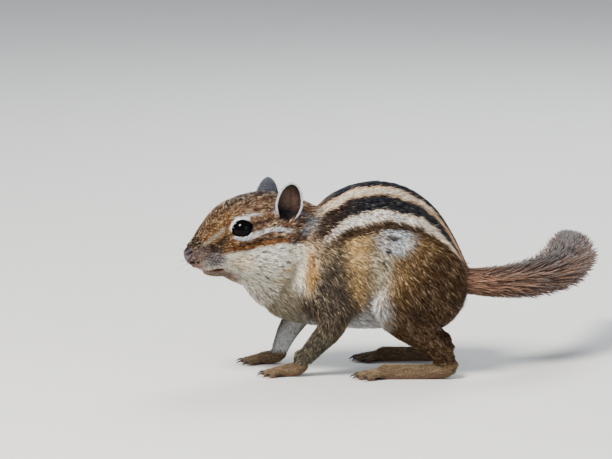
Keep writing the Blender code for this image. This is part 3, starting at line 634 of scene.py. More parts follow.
tones = dict(
    # back and ridge: the dark stripes' own near-black, tinted blue-grey by a painted reflection of the sky
    back=tone(46, 48, 56), ridge=tone(38, 44, 56), backFront=tone(72, 55, 46), creamStripe=tone(246, 229, 207), stripeEdge=tone(204, 146, 88),
    whiteStripe=tone(250, 241, 228), sideStripe=tone(82, 62, 46), flank=tone(236, 197, 140),
    flankPale=tone(230, 206, 166), trunk=tone(112, 94, 76), belly=tone(220, 221, 222),
    haunch=tone(150, 122, 84), haunchFront=tone(214, 205, 184), haunchLow=tone(84, 58, 32), greyPatch=tone(224, 230, 238), rump=tone(110, 70, 52),
    neck=tone(182, 158, 128), behindEar=tone(158, 164, 172), throat=tone(168, 158, 138),
    shoulder=tone(98, 87, 76), foreleg=tone(96, 92, 80), foot=tone(140, 120, 96),
    crown=tone(138, 104, 80), bridge=tone(134, 94, 54), crownDark=tone(40, 42, 54), white=tone(240, 240, 238),
    pale=tone(172, 162, 146), chestnut=tone(150, 96, 50), chestnutDark=tone(58, 38, 30), brown=tone(62, 44, 36),
    behindEye=tone(130, 98, 72), earFront=tone(176, 132, 78), cheek=tone(252, 244, 228),
    cheekGrey=tone(128, 118, 104), cheekRear=tone(194, 154, 98), pad=tone(176, 170, 170),
    muzzle=tone(74, 58, 50), nose=tone(108, 94, 98), noseSide=tone(124, 104, 100), noseDark=tone(30, 22, 24), dot=tone(40, 34, 34),
    lip=tone(74, 26, 26), lipEdge=tone(132, 96, 86), chin=tone(120, 94, 80), lid=tone(10, 8, 8),
    earBack=tone(100, 102, 110), earRim=tone(232, 234, 238), earInside=tone(80, 60, 50),
    earMiddle=tone(150, 124, 108), earHollowShade=tone(22, 14, 16), sole=tone(150, 112, 100),
    tailRoot=tone(174, 134, 110), tailDark=tone(38, 37, 40), tailTip=tone(190, 188, 186),
    darkHair=tone(34, 25, 24), lightHair=tone(236, 214, 180),
)

# Trunk ribs for the stripes: top x and z, middle x and z, half width
trunkRibs = ((-17, 60.5, -25.8, 45.4, 11.0), (-8, 59.2, -19.0, 40.9, 13.5), (-0.5, 64.4, -11.2, 40.0, 15.8),
             (8, 68.4, -1.4, 40.1, 17.6), (18, 69.7, 11.4, 39.9, 19.4), (28, 67.2, 23.0, 38.8, 20.8),
             (37.2, 60.8, 32.7, 36.7, 20.8), (44.2, 51.0, 39.7, 33.4, 18.2), (48.6, 41.5, 44.4, 30.8, 13.5),
             (50.0, 35.5, 47.5, 31.2, 7.5))
# Edges of the stripes, in degrees round the back from its ridge, at some ribs
stripes = dict(ribs=(2.0, 3.0, 4.3, 6.0, 8.0), ridge=(19, 13, 12.5, 12, 10), dark=(36, 28, 27, 24, 22),
               white=(64, 47, 41, 37, 34), side=(75, 58, 50, 47, 47), end=(86, 68, 58, 52, 52),
               starts=dict(whiteStripe=(2.1, 2.9), sideStripe=(2.2, 3.0)),
               fades=dict(whiteStripe=(6.8, 7.8), sideStripe=(5.4, 6.6)))


def ribPlace(points):
    # which rib a point is at, and the angle round it from the ridge of the back, in degrees
    count = 10 * (len(trunkRibs) - 1) + 1
    rib = np.linspace(0, len(trunkRibs) - 1, count)
    table = np.array(trunkRibs, float)
    top = np.stack([np.interp(rib, range(len(table)), table[:, i]) for i in (0, 1)], 1)
    middle = np.stack([np.interp(rib, range(len(table)), table[:, i]) for i in (2, 3)], 1)
    wide = np.interp(rib, range(len(table)), table[:, 4])
    high = np.linalg.norm(top - middle, axis=1)
    up = (top - middle) / high[:, None]
    offset = points[:, None, (0, 2)] - middle[None]
    off = np.abs(offset[..., 0] * up[:, 1] - offset[..., 1] * up[:, 0])
    lift = (offset * up).sum(2)
    off[lift < -0.2 * high] = 1e9
    nearest = off.argmin(1)
    rows = np.arange(len(points))
    angle = np.arctan2(np.abs(points[:, 1]) / wide[nearest], lift[rows, nearest] / high[nearest])
    return rib[nearest], np.degrees(angle)


def paint(colours, share, colour):
    colours += np.clip(share, 0, 1)[:, None] * (colour - colours)


def blob(points, at, radii, soft=0.5):
    # a soft spot: 1 in its middle, 0 outside, on both sides of the animal
    away = np.linalg.norm((points * (1, 1, 1) - at) / radii, axis=1)
    return 1 - smoothStep(away, 1 - soft, 1 + soft)


# Strokes on the head, each a tone, places forward, outward and up, a half width, a softness, and a strength
strokes = (
    ("behindEye", ((23.0, 10.6, 5.4), (20.0, 10.9, 6.6), (16.8, 10.6, 7.4), (13.5, 10.6, 8.0)), 1.5, 1.0, 0.8),
    ("brown", ((23.4, 10.8, 4.8), (20.6, 11.0, 5.6), (17.4, 11.0, 6.4), (14.5, 11.0, 7.0)), 0.6, 0.8, 0.9),
    ("chestnut", ((31.8, 7.7, -3.6), (27.9, 10.2, -2.8), (23.0, 11.7, -2.0), (17.7, 12.4, -1.0),
                  (13.9, 12.8, -0.5), (9.5, 13.4, -1.4)), 1.15, 0.9, 0.85),
    ("chestnutDark", ((30.0, 9.0, -2.5), (26.0, 10.8, -1.7), (21.0, 11.9, -0.7), (17.0, 12.3, 0.2),
                      (13.9, 12.8, 0.5), (10.0, 13.2, -0.6)), 0.5, 0.7, 0.85),
    ("white", ((24.6, 10.8, 0.1), (21.6, 11.5, 1.8), (18.0, 11.6, 2.9), (14.0, 12.0, 3.2), (10.6, 12.6, 2.2)),
     0.85, 0.9, 0.8),
    ("white", ((29.3, 8.3, 7.5), (27.3, 9.2, 8.2), (24.3, 9.8, 8.5), (21.0, 9.6, 8.8), (18.2, 9.2, 9.2)),
     0.6, 0.6, 0.9),
    ("pale", ((40.0, 3.9, -2.2), (37.3, 5.0, -0.4), (34.8, 5.8, 1.6), (32.8, 6.6, 3.6), (31.8, 7.2, 4.6)),
     0.7, 0.9, 0.85),
    ("brown", ((37.8, 5.2, -3.4), (34.8, 6.2, -1.9), (32.6, 7.2, -0.3), (31.0, 8.2, 1.6)), 0.95, 0.9, 0.95),
    ("brown", ((10.2, 13.3, -1.9), (6.8, 13.2, 0.0), (3.8, 12.2, 3.4)), 1.4, 1.2, 0.8),
    ("white", ((13.4, 12.6, 3.6), (11.0, 13.0, 2.4), (8.8, 13.0, 2.8)), 0.9, 0.9, 0.8),
    ("behindEar", ((5.4, 12.6, 0.6), (2.0, 11.2, 4.6), (0.2, 10.0, 8.6)), 1.4, 1.4, 0.7),
    ("earFront", ((13.3, 8.3, 11.8), (14.0, 10.7, 7.0)), 0.6, 0.8, 0.8),
)
skinTree = treeOf(skin)
strokes = [(name, ontoSkin(skinTree, line), *rest) for name, line, *rest in strokes]


def headTones(atHead, colours, grizzle, inHead):
    f, out, u = atHead[:, 0], np.abs(atHead[:, 1]), atHead[:, 2]
    place = np.stack([f, out, u], 1)
    streaks = cloudy(place, (2.6, 0.7, 0.55), 4.1)
    paint(colours, inHead, tones["crown"])
    paint(colours, inHead * smoothStep(f, 25, 33), tones["bridge"])
    grizzle += inHead * (1.0 - grizzle)
    ridge = (1 - smoothStep(out + 1.0 * streaks, 1.5, 5.5)) * smoothStep(f, 4, 12) * smoothStep(u, -2, 2)
    paint(colours, inHead * ridge * (0.85 - 0.35 * smoothStep(f, 27, 34)), tones["crownDark"])
    border = np.interp(f, (8, 14, 23, 28, 33, 38, 42), (-1.2, -0.8, -2.6, -3.4, -4.6, -5.8, -7.6))
    under = smoothStep(border - 0.6 - u, -0.4, 1.0) * inHead
    paint(colours, under, tones["cheek"])
    grizzle += under * (0.3 - grizzle)
    backward = smoothStep(-f, -33, -26)
    low = smoothStep(-u, 6, 12)
    paint(colours, under * smoothStep(streaks, 0.25 - 0.4 * low, 0.8) * backward * 0.95, tones["cheekGrey"])
    warm = blob(place, (27, 10, -8.5), (4.5, 5, 3.0), 0.6) + blob(place, (9, 14, -15), (7, 8, 6), 0.6)
    paint(colours, under * warm * (0.35 + 0.4 * streaks), tones["cheekRear"])
    rear = inHead * (1 - smoothStep(f, 2.4, 6.5)) * (1 - smoothStep(u, -5, -1)) * smoothStep(u, -26, -18)
    paint(colours, rear * (0.75 + 0.3 * streaks), tones["cheekRear"])
    muzzle = inHead * smoothStep(f, 31, 34) * smoothStep(u, -7.8, -6.2) * (1 - smoothStep(u, -2.4, -0.8))
    paint(colours, muzzle * smoothStep(out, 1.5, 4.0), tones["muzzle"])
    grizzle += muzzle * (0.6 - grizzle)
    paint(colours, inHead * blob(place, (35.6, 5.4, -7.4), (4.4, 4.0, 2.5), 0.5), tones["pad"])
    # the chin's own brownish pink, darkened by painted shade under the chin
    paint(colours, inHead * blob(place, (32.6, 0.0, -13.2), (9.8, 6, 3.4), 0.4) * 0.85, tones["chin"])
    paint(colours, inHead * blob(place, (41.0, 2.0, -9.0), (3.0, 4.0, 1.7), 0.5) * 0.8, tones["lipEdge"])
    for name, line, wide, soft, strength in strokes:
        away, along = lineDistance(place, line)
        ends = smoothStep(along, -0.02, 0.12) * (1 - smoothStep(along, 0.8, 1.02))
        wide = wide * (0.55 + 0.45 * ends) + 0.3 * streaks
        share = strength * (1 - smoothStep(away, wide - soft / 2, wide + soft / 2)) * (0.35 + 0.65 * ends) * inHead
        paint(colours, share, tones[name])
        grizzle += share * (0.35 - grizzle)
    depth, radius, angle, opening = eyePolar(place, left)
    beyond = (radius - opening) * (depth > -1)
    upper = 1 - smoothStep(turnFrom(angle, 62), 58, 80)
    lower = 1 - smoothStep(turnFrom(angle, -92), 50, 66)
    for share, wide in ((upper, 1.45), (lower, 1.6)):
        share = share * (1 - smoothStep(beyond, wide - 0.25, wide + 0.35)) * inHead * (depth > -1)
        paint(colours, share, tones["white"])
        grizzle += share * (0.12 - grizzle)
    paint(colours, inHead * dottedPad(place) * 0.9, tones["dot"])
    noseTop = blob(place, (41.6, 0.8, -1.2), (3.2, 3.4, 2.0), 0.4)
    paint(colours, inHead * noseTop * 0.9, tones["noseDark"])
    aroundNose = smoothStep(f, 39.5, 41.5) * (1 - smoothStep(u, -3.4, -2.4)) * smoothStep(u, -9.0, -7.4)
    paint(colours, inHead * aroundNose, tones["noseSide"])
    noseSide = blob(place, (39.2, 4.4, -5.2), (2.6, 2.6, 2.0), 0.5)
    paint(colours, inHead * noseSide * 0.85, tones["noseSide"])
    underNose, _ = lineDistance(place, ((43.0, 1.6, -7.6), (41.0, 3.6, -7.8), (38.6, 4.8, -7.4), (36.6, 5.2, -6.6)))
    paint(colours, inHead * (1 - smoothStep(underNose, 0.3, 0.8)) * 0.8, tones["noseDark"])


def dottedPad(place):
    # rows of small dark dots where the whiskers grow
    dots = np.zeros(len(place))
    for row in range(5):
        for step in range(6):
            at = (38.6 - 1.3 * step - 0.65 * (row % 2), 5.0, -5.4 - 0.8 * row - 0.1 * step)
            away = np.hypot(place[:, 0] - at[0], place[:, 2] - at[2])
            dots = np.maximum(dots, (1 - smoothStep(away, 0.2, 0.42)) * (place[:, 1] > 2.5))
    return dots * blob(place, (35.8, 5.4, -7.2), (4.0, 4.0, 2.4), 0.3)


def earTones(points, colours, grizzle, inEar):
    atHead = toHead(points)
    for side in (left, right):
        place, wall = earCoordinates(points, side)
        here = inEar * (side * atHead[:, 1] < 0)
        inside = here * (1 - smoothStep(wall, 0.90, 0.96)) * (1 - smoothStep(place[:, 1], 0.3, 0.9))
        top = ear["rim"] + 0.5 * np.cos(0.3 * place[:, 2]) * (1 - smoothStep(-place[:, 2], 1, 7))
        rim = smoothStep(place[:, 1] - top, -0.5, -0.15)
        rim = np.maximum(rim, 0.8 * smoothStep(wall, 0.93, 0.97) * smoothStep(place[:, 1] - top, -1.1, -0.6))
        rim = rim * here * smoothStep(place[:, 2], -5, -2)
        paint(colours, here, tones["earBack"])
        paint(colours, inside, tones["earInside"])
        middle = blob(place, (0.3, -1.5, 2.2), (2.8, 4.0, 4.0), 0.5) * (0.7 + 0.5 * cloudy(points, 1.2, 3.3))
        paint(colours, inside * middle, tones["earMiddle"])
        # painted shade deep in the ear's cup, towards its base
        paint(colours, inside * smoothStep(-place[:, 2], 0.5, 3.0), tones["earHollowShade"])
        paint(colours, rim, tones["earRim"])
        grizzle += here * (0.3 - grizzle)


def bareSkin(points, masks):
    # how bare each place is, with its tone: nose, lips, lids, the inside of the ears, soles
    atHead = toHead(points)
    place = np.stack([atHead[:, 0], np.abs(atHead[:, 1]), atHead[:, 2]], 1)
    bare = np.zeros(len(points))
    colours = np.tile(tones["nose"], (len(points), 1))
    inHead = masks[:, 0] > 0.5
    lipAway, along = lineDistance(place, mouth["line"])
    lips = (1 - smoothStep(lipAway, 0.75, 1.15)) * (1 - smoothStep(along, 0.8, 1.0)) * inHead
    paint(colours, lips, tones["lipEdge"])
    paint(colours, lips * (1 - smoothStep(lipAway, 0.35, 0.7)), tones["lip"])
    rim = np.linalg.norm((place - nose["at"]) / nose["radii"], axis=1)
    pad = (1 - smoothStep(rim, 0.95, 1.05)) * (place[:, 0] > 40) * inHead
    edge = pad * smoothStep(rim, 0.78, 0.98)
    pit, _ = lineDistance(place, nose["nostril"])
    top = pad * smoothStep(place[:, 2], -4.8, -3.4)
    paint(colours, np.maximum(edge * 0.75, top * 0.9), tones["noseDark"])
    paint(colours, pad * (1 - smoothStep(pit, 0.3, 0.75)), tones["noseDark"])
    depth, radius, _, opening = eyePolar(place, left)
    lid = (1 - smoothStep(radius - opening, 0.3, 0.55)) * (depth > -1) * inHead
    paint(colours, lid, tones["lid"])
    sole = (masks[:, 4] + masks[:, 5]) * (1 - smoothStep(points[:, 2], 0.5, 1.2))
    paint(colours, sole, tones["sole"])
    bare = np.maximum.reduce([lips, pad, lid, sole])
    for side in (left, right):
        earAt, wall = earCoordinates(points, side)
        inside = (wall < 0.95) * (earAt[:, 1] < 0.4) * (masks[:, 7] > 0.5)
        bare = np.maximum(bare, 0.6 * inside)
    return bare, colours


def coatTones(points, masks):
    # the colour of the coat at any place, and how grizzled it is
    x, y, z = points.T
    mirror = np.stack([x, np.abs(y), z], 1)
    trunk = masks[:, 1] + masks[:, 2] + masks[:, 3]
    colours = np.tile(tones["trunk"], (len(points), 1))
    grizzle = np.full(len(points), 0.6)
    wander = cloudy(points, 5.0, 2.3)
    upright = cloudy(points, (1.0, 1.0, 3.4), 6.1)
    lengthwise = cloudy(points, (3.6, 0.9, 0.9), 9.4)
    flank = blob(mirror, (7.6, 19, 40), (6.8, 12, 15), 0.4)
    paint(colours, flank, tones["flank"])
    paint(colours, flank * smoothStep(lengthwise, -0.1, 0.7) * smoothStep(z, 34, 46) * 0.7, tones["flankPale"])
    paint(colours, flank * smoothStep(upright, 0.3, 1.0) * 0.55, tones["trunk"])
    grizzle -= 0.15 * flank
    rib, angle = ribPlace(points)
    haunch = np.maximum(masks[:, 3], smoothStep(x, 11.5, 16.0) * trunk)
    paint(colours, haunch, tones["haunch"])
    # the lower rear of the haunch is darker: its own golden brown, made darker still by painted shade
    rear = smoothStep(x + 0.6 * (44 - z) + 2.0 * wander + 3.0 * upright, 20, 39)
    paint(colours, haunch * rear, tones["haunchLow"])
    grizzle += haunch * (0.7 - grizzle)
    paint(colours, masks[:, 2] * smoothStep(z, 12, 24), tones["shoulder"])
    paint(colours, blob(mirror, (-2.2, 17, 43), (6.0, 9, 11), 0.5), tones["shoulder"])
    # the lower foreleg's own tone, made darker by painted shade
    paint(colours, masks[:, 2] * (1 - smoothStep(z, 12, 24)), tones["foreleg"])
    grizzle += masks[:, 2] * 0.2
    neckward = smoothStep(-x - 0.35 * (z - 45), 2.5, 8) * masks[:, 1]
    paint(colours, neckward * 0.9, tones["neck"])
    paint(colours, blob(mirror, (-9.5, 9.5, 57), (5, 6, 5), 0.5) * (0.9 + 0.4 * lengthwise), tones["behindEar"])
    paint(colours, blob(mirror, (-3.5, 14, 49), (4.6, 9, 6.5), 0.6) * (0.75 + 0.4 * lengthwise), tones["neck"])
    collar = blob(mirror, (-11.5, 16, 40), (6.6, 9, 9), 0.3)  # the cheek's coat lies over the neck, its rim ochre
    paint(colours, collar * (0.85 + 0.3 * upright), tones["cheek"])
    paint(colours, collar * smoothStep(x + 0.8 * wander, -11.6, -8.0) * 0.95, tones["cheekRear"])
    grizzle += collar * (0.35 - grizzle)
    bellyLine = 26 + 3 * smoothStep(x, 8, 20) - 4 * masks[:, 2]
    belly = masks[:, 1] * (1 - smoothStep(z + 1.2 * wander + upright, bellyLine - 3, bellyLine + 3))
    inner = (masks[:, 2] + masks[:, 3]) * (1 - smoothStep(np.abs(y) + 0.15 * z, 10, 14)) * (1 - smoothStep(z, 26, 32))
    paint(colours, np.maximum(belly, inner), tones["belly"])
    groin = blob(mirror, (16.8, 18, 26), (4.6, 8, 7.5), 0.8)
    paint(colours, groin * (0.75 + 0.5 * upright), tones["belly"])
    pale = np.maximum(np.maximum(belly, inner), groin)
    grizzle += pale * (0.2 - grizzle)
    # the throat's own yellowish grey, darkened by painted shade under the cheek
    throat = masks[:, 1] * smoothStep(-x, 6, 14) * (1 - smoothStep(z, 42, 52))
    paint(colours, throat, tones["throat"])
    paint(colours, throat * smoothStep(upright, 0.1, 0.9) * 0.6, tones["cheekGrey"])
    grizzle += throat * (0.25 - grizzle)
    # painted shade: a darker line along the crease between the flank and the haunch
    crease = blob(mirror, (12.2, 18, 38), (1.0, 9, 9), 0.8)
    paint(colours, crease * 0.7, tones["trunk"])
    haunchFront = blob(mirror, (17.4, 18.4, 42.0), (4.2, 8, 10.0), 0.6)
    paint(colours, haunchFront * (0.65 + 0.5 * upright), tones["haunchFront"])
    patch = blob(mirror, (22.0, 18.4, 51.6), (6.2, 8, 4.9), 0.6)
    paint(colours, patch * (0.75 + 0.4 * lengthwise), tones["greyPatch"])
    spots = blob(mirror, (20.7, 18.5, 51.8), (2.4, 5, 1.0), 0.4)
    for at in ((19.4, 18.5, 47.6), (18.3, 18.5, 43.2)):
        spots = np.maximum(spots, blob(mirror, at, (0.8, 5, 1.2), 0.5))
    # dark spots in the tone of the back, which carries a painted blue reflection of the sky
    paint(colours, spots * (0.85 + 0.3 * lengthwise), tones["back"])
    stripeTones(rib, angle + 1.2 * wander + 0.9 * lengthwise, trunk, colours, grizzle)
    paint(colours, blob(mirror, (50, 0, 36), (6, 9, 8), 0.5) * trunk, tones["rump"])
    paint(colours, masks[:, 4] + masks[:, 5], tones["foot"])
    grizzle += (masks[:, 4] + masks[:, 5]) * (0.4 - grizzle)
    headTones(toHead(points), colours, grizzle, smoothStep(masks[:, 0] + masks[:, 7], 0.25, 0.75))
    earTones(points, colours, grizzle, (masks[:, 7] > 0.5) * 1.0)
    paint(colours, masks[:, 6], tones["tailRoot"])
    return colours, grizzle


def stripeTones(rib, angle, trunk, colours, grizzle):
    # five dark stripes and four pale ones along the back, counted from its ridge outward on each side
    edges = [np.interp(rib, stripes["ribs"], stripes[name]) for name in ("ridge", "dark", "white", "side", "end")]
    lows = [np.full(len(rib), -9.0)] + edges[:-1]
    # the dark stripe's tone carries a painted blue reflection of the sky over its own near-black
    frontTone = tones["back"] + (1 - smoothStep(rib, 2.2, 3.6))[:, None] * (tones["backFront"] - tones["back"])
    for name, low, high in zip(("ridge", "creamStripe", "back", "whiteStripe", "sideStripe"), lows, edges):
        inside = smoothStep(angle, low - 1.0, low + 1.0) * (1 - smoothStep(angle, high - 1.0, high + 1.0))
        fade = trunk * smoothStep(rib, *stripes["starts"].get(name, (1.3, 2.2)))
        fade = fade * (1 - smoothStep(rib, *stripes["fades"].get(name, (7.8, 8.8))))
        paint(colours, inside * fade, frontTone if name == "back" else tones[name])
        grizzle += inside * fade * (0.3 - grizzle)
        if name in ("creamStripe", "whiteStripe"):  # warm hairs along both edges of the pale stripes
            middle, half = (low + high) / 2, (high - low) / 2
            edge = smoothStep(np.abs(angle - middle) / half, 0.45, 0.95) * inside * fade
            warmth = 0.7 if name == "creamStripe" else 0.35
            paint(colours, edge * warmth, tones["stripeEdge"])
            rear = smoothStep(rib, 4.6, 6.8) * inside * fade
            paint(colours, rear * (0.6 if name == "creamStripe" else 0.3), tones["stripeEdge"])


# The lie of the coat

def lieOf(points, normals, masks):
    atHead = toHead(points)
    back = turned(unit(atHead - head["noseTip"]) * (1.0, 1.0, 0.9) + (-0.25, 0, -0.05), headPlace())
    level = np.abs(normals[:, 1:2])
    x, y, z = points.T
    trunk = np.concatenate([np.ones_like(level), np.zeros_like(level), -0.45 * level], 1)
    front = smoothStep(-x, -4, 12)[:, None]
    trunk = trunk * (1 - front) + front * np.array((0.75, 0, -0.6))
    shoulder = np.array((0.62, 0, -0.78)) * smoothStep(z, 16, 30)[:, None]
    shoulder = shoulder + np.array((-0.25, 0, -1.0)) * (1 - smoothStep(z, 16, 30))[:, None]
    haunch = np.array((0.62, 0, -0.85)) * smoothStep(z, 18, 26)[:, None]
    haunch = haunch + np.array((0.85, 0, -0.6)) * (1 - smoothStep(z, 18, 26))[:, None]
    forward = np.array((-1.0, 0, -0.12))
    total = masks[:, 0:1] * unit(back) + masks[:, 1:2] * trunk + masks[:, 2:3] * shoulder
    total = total + masks[:, 3:4] * haunch + (masks[:, 4:5] + masks[:, 5:6]) * forward
    tip = turned(np.array((0.0, 0.0, 1.0)), earPlace(left))
    total = total + masks[:, 7:8] * tip
    ahead = tailCurve.axes(tailCurve.locate(points)[0])[0]
    total = total + masks[:, 6:7] * ahead
    total = total - (total * normals).sum(1)[:, None] * normals
    return unit(total)


# How long and broad the tufts are, and how far they lift, in millimetres

def sizesOf(points, masks):
    atHead = toHead(points)
    place = np.stack([atHead[:, 0], np.abs(atHead[:, 1]), atHead[:, 2]], 1)
    back = smoothStep(-atHead[:, 0], -38, 0)
    headLength = 0.75 + 2.1 * back + 0.5 * smoothStep(-place[:, 2], 4, 14) * smoothStep(-atHead[:, 0], -32, -20)
    eyeAway = np.linalg.norm(place - (26, 9.2, 3.4), axis=1)
    headLength -= 0.9 * (1 - smoothStep(eyeAway, 4.5, 8)) * (headLength > 1.4)
    z = points[:, 2]
    legLength = 1.5 + 2.3 * smoothStep(z, 12, 30)
    trunkLength = 3.6 + 0.8 * smoothStep(-z, -40, -24)
    pawLength = 0.8 + 0.5 * smoothStep(z, 2, 5)
    length = masks[:, 0] * headLength + masks[:, 1] * trunkLength + (masks[:, 2] + masks[:, 3]) * legLength
    length += (masks[:, 4] + masks[:, 5]) * pawLength + masks[:, 7] * 0.6 + masks[:, 6] * 4.0
    width = 0.08 + 0.065 * length
    onTop = masks[:, 0] * smoothStep(place[:, 2], 6, 11) * (1 - smoothStep(place[:, 1], 3, 8))
    lift = 0.12 + 0.17 * length + 0.55 * onTop  # the hair stands up a little along the crown
    return length, width, lift


def unwrapped(obj):
    # an unwrap of the skin's own shape, as a search tree, its corners and their places on the map
    low = bpy.data.objects.new("skinMap", obj.data.copy())
    bpy.context.scene.collection.objects.link(low)
    thin = low.modifiers.new("Thin", "DECIMATE")
    thin.ratio = 0.06
    thin.use_collapse_triangulate = True
    applyModifiers(low)
    for other in bpy.context.selected_objects:
        other.select_set(False)
    bpy.context.view_layer.objects.active = low
    low.select_set(True)
    bpy.ops.object.mode_set(mode="EDIT")
    bpy.ops.mesh.select_all(action="SELECT")
    bpy.ops.uv.smart_project(angle_limit=math.radians(66), island_margin=0.004)
    bpy.ops.object.mode_set(mode="OBJECT")
    count = len(low.data.polygons)
    corners = np.empty(count * 3, np.int32)
    low.data.loops.foreach_get("vertex_index", corners)
    places = np.empty(count * 6)
    low.data.uv_layers.active.data.foreach_get("uv", places)
    points = pointsOf(low)
    faces = corners.reshape(-1, 3)
    tree = BVHTree.FromPolygons(points.tolist(), faces.tolist())
    bpy.data.objects.remove(low, do_unlink=True)
    return tree, points[faces], places.reshape(-1, 3, 2)


def mapPlaces(points, chart):
    tree, corners, places = chart
    found = [tree.find_nearest(p) for p in points]
    face = np.array([hit[2] for hit in found])
    at = np.array([hit[0][:] for hit in found])
    a, b, c = corners[face].transpose(1, 0, 2)
    normal = np.cross(b - a, c - a)
    area = (normal**2).sum(1) + 1e-12
    u = (np.cross(c - b, at - b) * normal).sum(1) / area
    v = (np.cross(a - c, at - c) * normal).sum(1) / area
    shares = np.stack([u, v, 1 - u - v], 1)
    return (shares[:, :, None] * places[face]).sum(1)


def rootsOn(obj, masks):
    # places on the skin for the tufts, closer together where the tufts are smaller
    obj.data.calc_loop_triangles()
    tris = np.empty(len(obj.data.loop_triangles) * 3, np.int32)
    obj.data.loop_triangles.foreach_get("vertices", tris)
    tris = tris.reshape(-1, 3)
    points, normals = pointsOf(obj), normalsOf(obj)
    corner = points[tris]
    area = np.linalg.norm(np.cross(corner[:, 1] - corner[:, 0], corner[:, 2] - corner[:, 0]), axis=1) / 2
    length, width, _ = sizesOf(points, masks)
    front = smoothStep(toHead(points)[:, 0], 14, 20) * masks[:, 0]
    cover = masks @ np.array(coatPlan["cover"]) + front * (coatPlan["faceCover"] - coatPlan["cover"][0])
    wanted = cover / (length * width)
    bare, _ = bareSkin(points, masks)
    wanted *= 1 - smoothStep(bare, 0.3, 0.9)
    wanted *= 1 - 0.45 * smoothStep(-normals[:, 2], 0.2, 0.8)  # less dense where the body faces the floor
    wanted *= 1 - masks[:, 6] * smoothStep(tailCurve.locate(points)[0], 6, 12)
    number = area * wanted[tris].mean(1)
    total = np.cumsum(number)
    count = int(total[-1])
    picked = np.searchsorted(total, (np.arange(count) + draw.random(count)) * total[-1] / count)
    u, v = draw.random((2, count))
    flip = u + v > 1
    u[flip], v[flip] = 1 - u[flip], 1 - v[flip]
    shares = np.stack([1 - u - v, u, v], 1)[:, :, None]
    chosen = tris[picked]
    return ((points[chosen] * shares).sum(1), unit((normals[chosen] * shares).sum(1)),
            (masks[chosen] * shares).sum(1))


def meshOf(name, points, quads, triangles, colours, places):
    # a mesh from arrays: points in millimetres, faces, a colour for each point and a place on the map
    mesh = bpy.data.meshes.new(name)
    points[:, 2] = np.maximum(points[:, 2], 0.02)  # none of it lies under the floor
    loops = np.concatenate([quads.ravel(), triangles.ravel()]).astype(np.int32)
    starts = np.concatenate([np.arange(len(quads)) * 4, len(quads) * 4 + np.arange(len(triangles)) * 3])
    mesh.vertices.add(len(points))
    mesh.vertices.foreach_set("co", ((points + stand) * mm).ravel())
    mesh.loops.add(len(loops))
    mesh.loops.foreach_set("vertex_index", loops)
    mesh.polygons.add(len(starts))
    mesh.polygons.foreach_set("loop_start", starts.astype(np.int32))
    mesh.update(calc_edges=True)
    attribute = mesh.attributes.new("coat", "FLOAT_COLOR", "POINT")
    attribute.data.foreach_set("color", np.concatenate([colours, np.ones((len(colours), 1))], 1).ravel())
    layer = mesh.uv_layers.new(name="OFBake")
    layer.data.foreach_set("uv", places[loops].ravel())
    mesh.shade_smooth()
    obj = bpy.data.objects.new(name, mesh)
    bpy.context.scene.collection.objects.link(obj)
    return obj


def tuftMesh(name, rings, tips, thick, normals, across, colours, places):
    # rings: middles of each tuft at some stations, with half widths; each tuft has three sides and a point
    count, stations = rings[0].shape[:2]
    middles, halves = rings
    rightEdge = middles + across[:, None] * halves[..., None]
    leftEdge = middles - across[:, None] * halves[..., None]
    ridge = middles + normals[:, None] * (thick[:, None] * halves / halves.max(1, keepdims=True))[..., None]
    body = np.stack([rightEdge, ridge, leftEdge], 2).reshape(count, stations * 3, 3)
    points = np.concatenate([body, tips[:, None]], 1).reshape(-1, 3)
    each = stations * 3 + 1
    base = (np.arange(count) * each)[:, None]
    quads, triangles = [], [base + (0, 2, 1)]
    for k in range(stations - 1):
        for i in range(3):
            j = (i + 1) % 3
            quads.append(base + (3 * k + i, 3 * k + j, 3 * k + 3 + j, 3 * k + 3 + i))
    last = 3 * (stations - 1)
    for i in range(3):
        triangles.append(base + (last + i, last + (i + 1) % 3, each - 1))
    # painted shade and light along each tuft: darker at its root, where the hairs shade one another, and lighter at
    # its tip
    shade = np.concatenate([np.repeat(np.linspace(0.5, 1.04, stations), 3), (1.12,)])
    shadedTufts = colours[:, None] * shade[None, :, None]
    patch = 0.003
    u = np.concatenate([np.tile((0.5, 0.0, -0.5), stations), (0.0,)]) * patch
    v = np.concatenate([np.repeat(np.linspace(-0.5, 0.3, stations), 3), (0.5,)]) * patch
    spots = places[:, None] + np.stack([u, v], 1)[None]
    return meshOf(name, points, np.concatenate(quads), np.concatenate(triangles),
                  np.clip(shadedTufts, 0, 1).reshape(-1, 3), spots.reshape(-1, 2))


def streaky(points, masks):
    # noise drawn out along the lie of the coat
    onHead = cloudy(toHead(points), (2.2, 0.5, 0.4), 3.9)
    along = cloudy(points, (2.8, 0.5, 0.5), 7.7)
    down = cloudy(points + points[:, 2:] * (0.4, 0, 0), (0.5, 0.5, 2.6), 5.2)
    legs = np.clip(masks[:, 2] + masks[:, 3], 0, 1)
    return masks[:, 0] * onHead + (1 - masks[:, 0]) * (along + legs * (down - along))


def grizzled(colours, grizzle, points, masks):
    # each tuft leans to a dark or a light hair, more so where the coat is grizzled
    lean = draw.normal(0, 0.7, len(colours)) + 1.1 * streaky(points, masks)
    dark = np.clip(-lean, 0, 1.5) * grizzle * 0.6
    light = np.clip(lean - 0.2, 0, 1.4) * grizzle * (0.3 + 0.25 * masks[:, 0])
    colours = colours.copy()
    paint(colours, dark, tones["darkHair"])
    paint(colours, light, tones["lightHair"])
    return colours * (1 + 0.14 * lean + 0.1 * draw.normal(0, 1, len(colours)))[:, None].clip(0.6, 1.5)


# cover: how many times over the tufts cover head, trunk, forelegs, hind legs, forepaws, hind feet, tail and ears
coatPlan = dict(cover=(5.6, 6.0, 4.2, 4.8, 1.7, 1.7, 4.0, 0.9), faceCover=2.7, most=19000, sink=0.22, wander=0.2,
                curl=0.16)


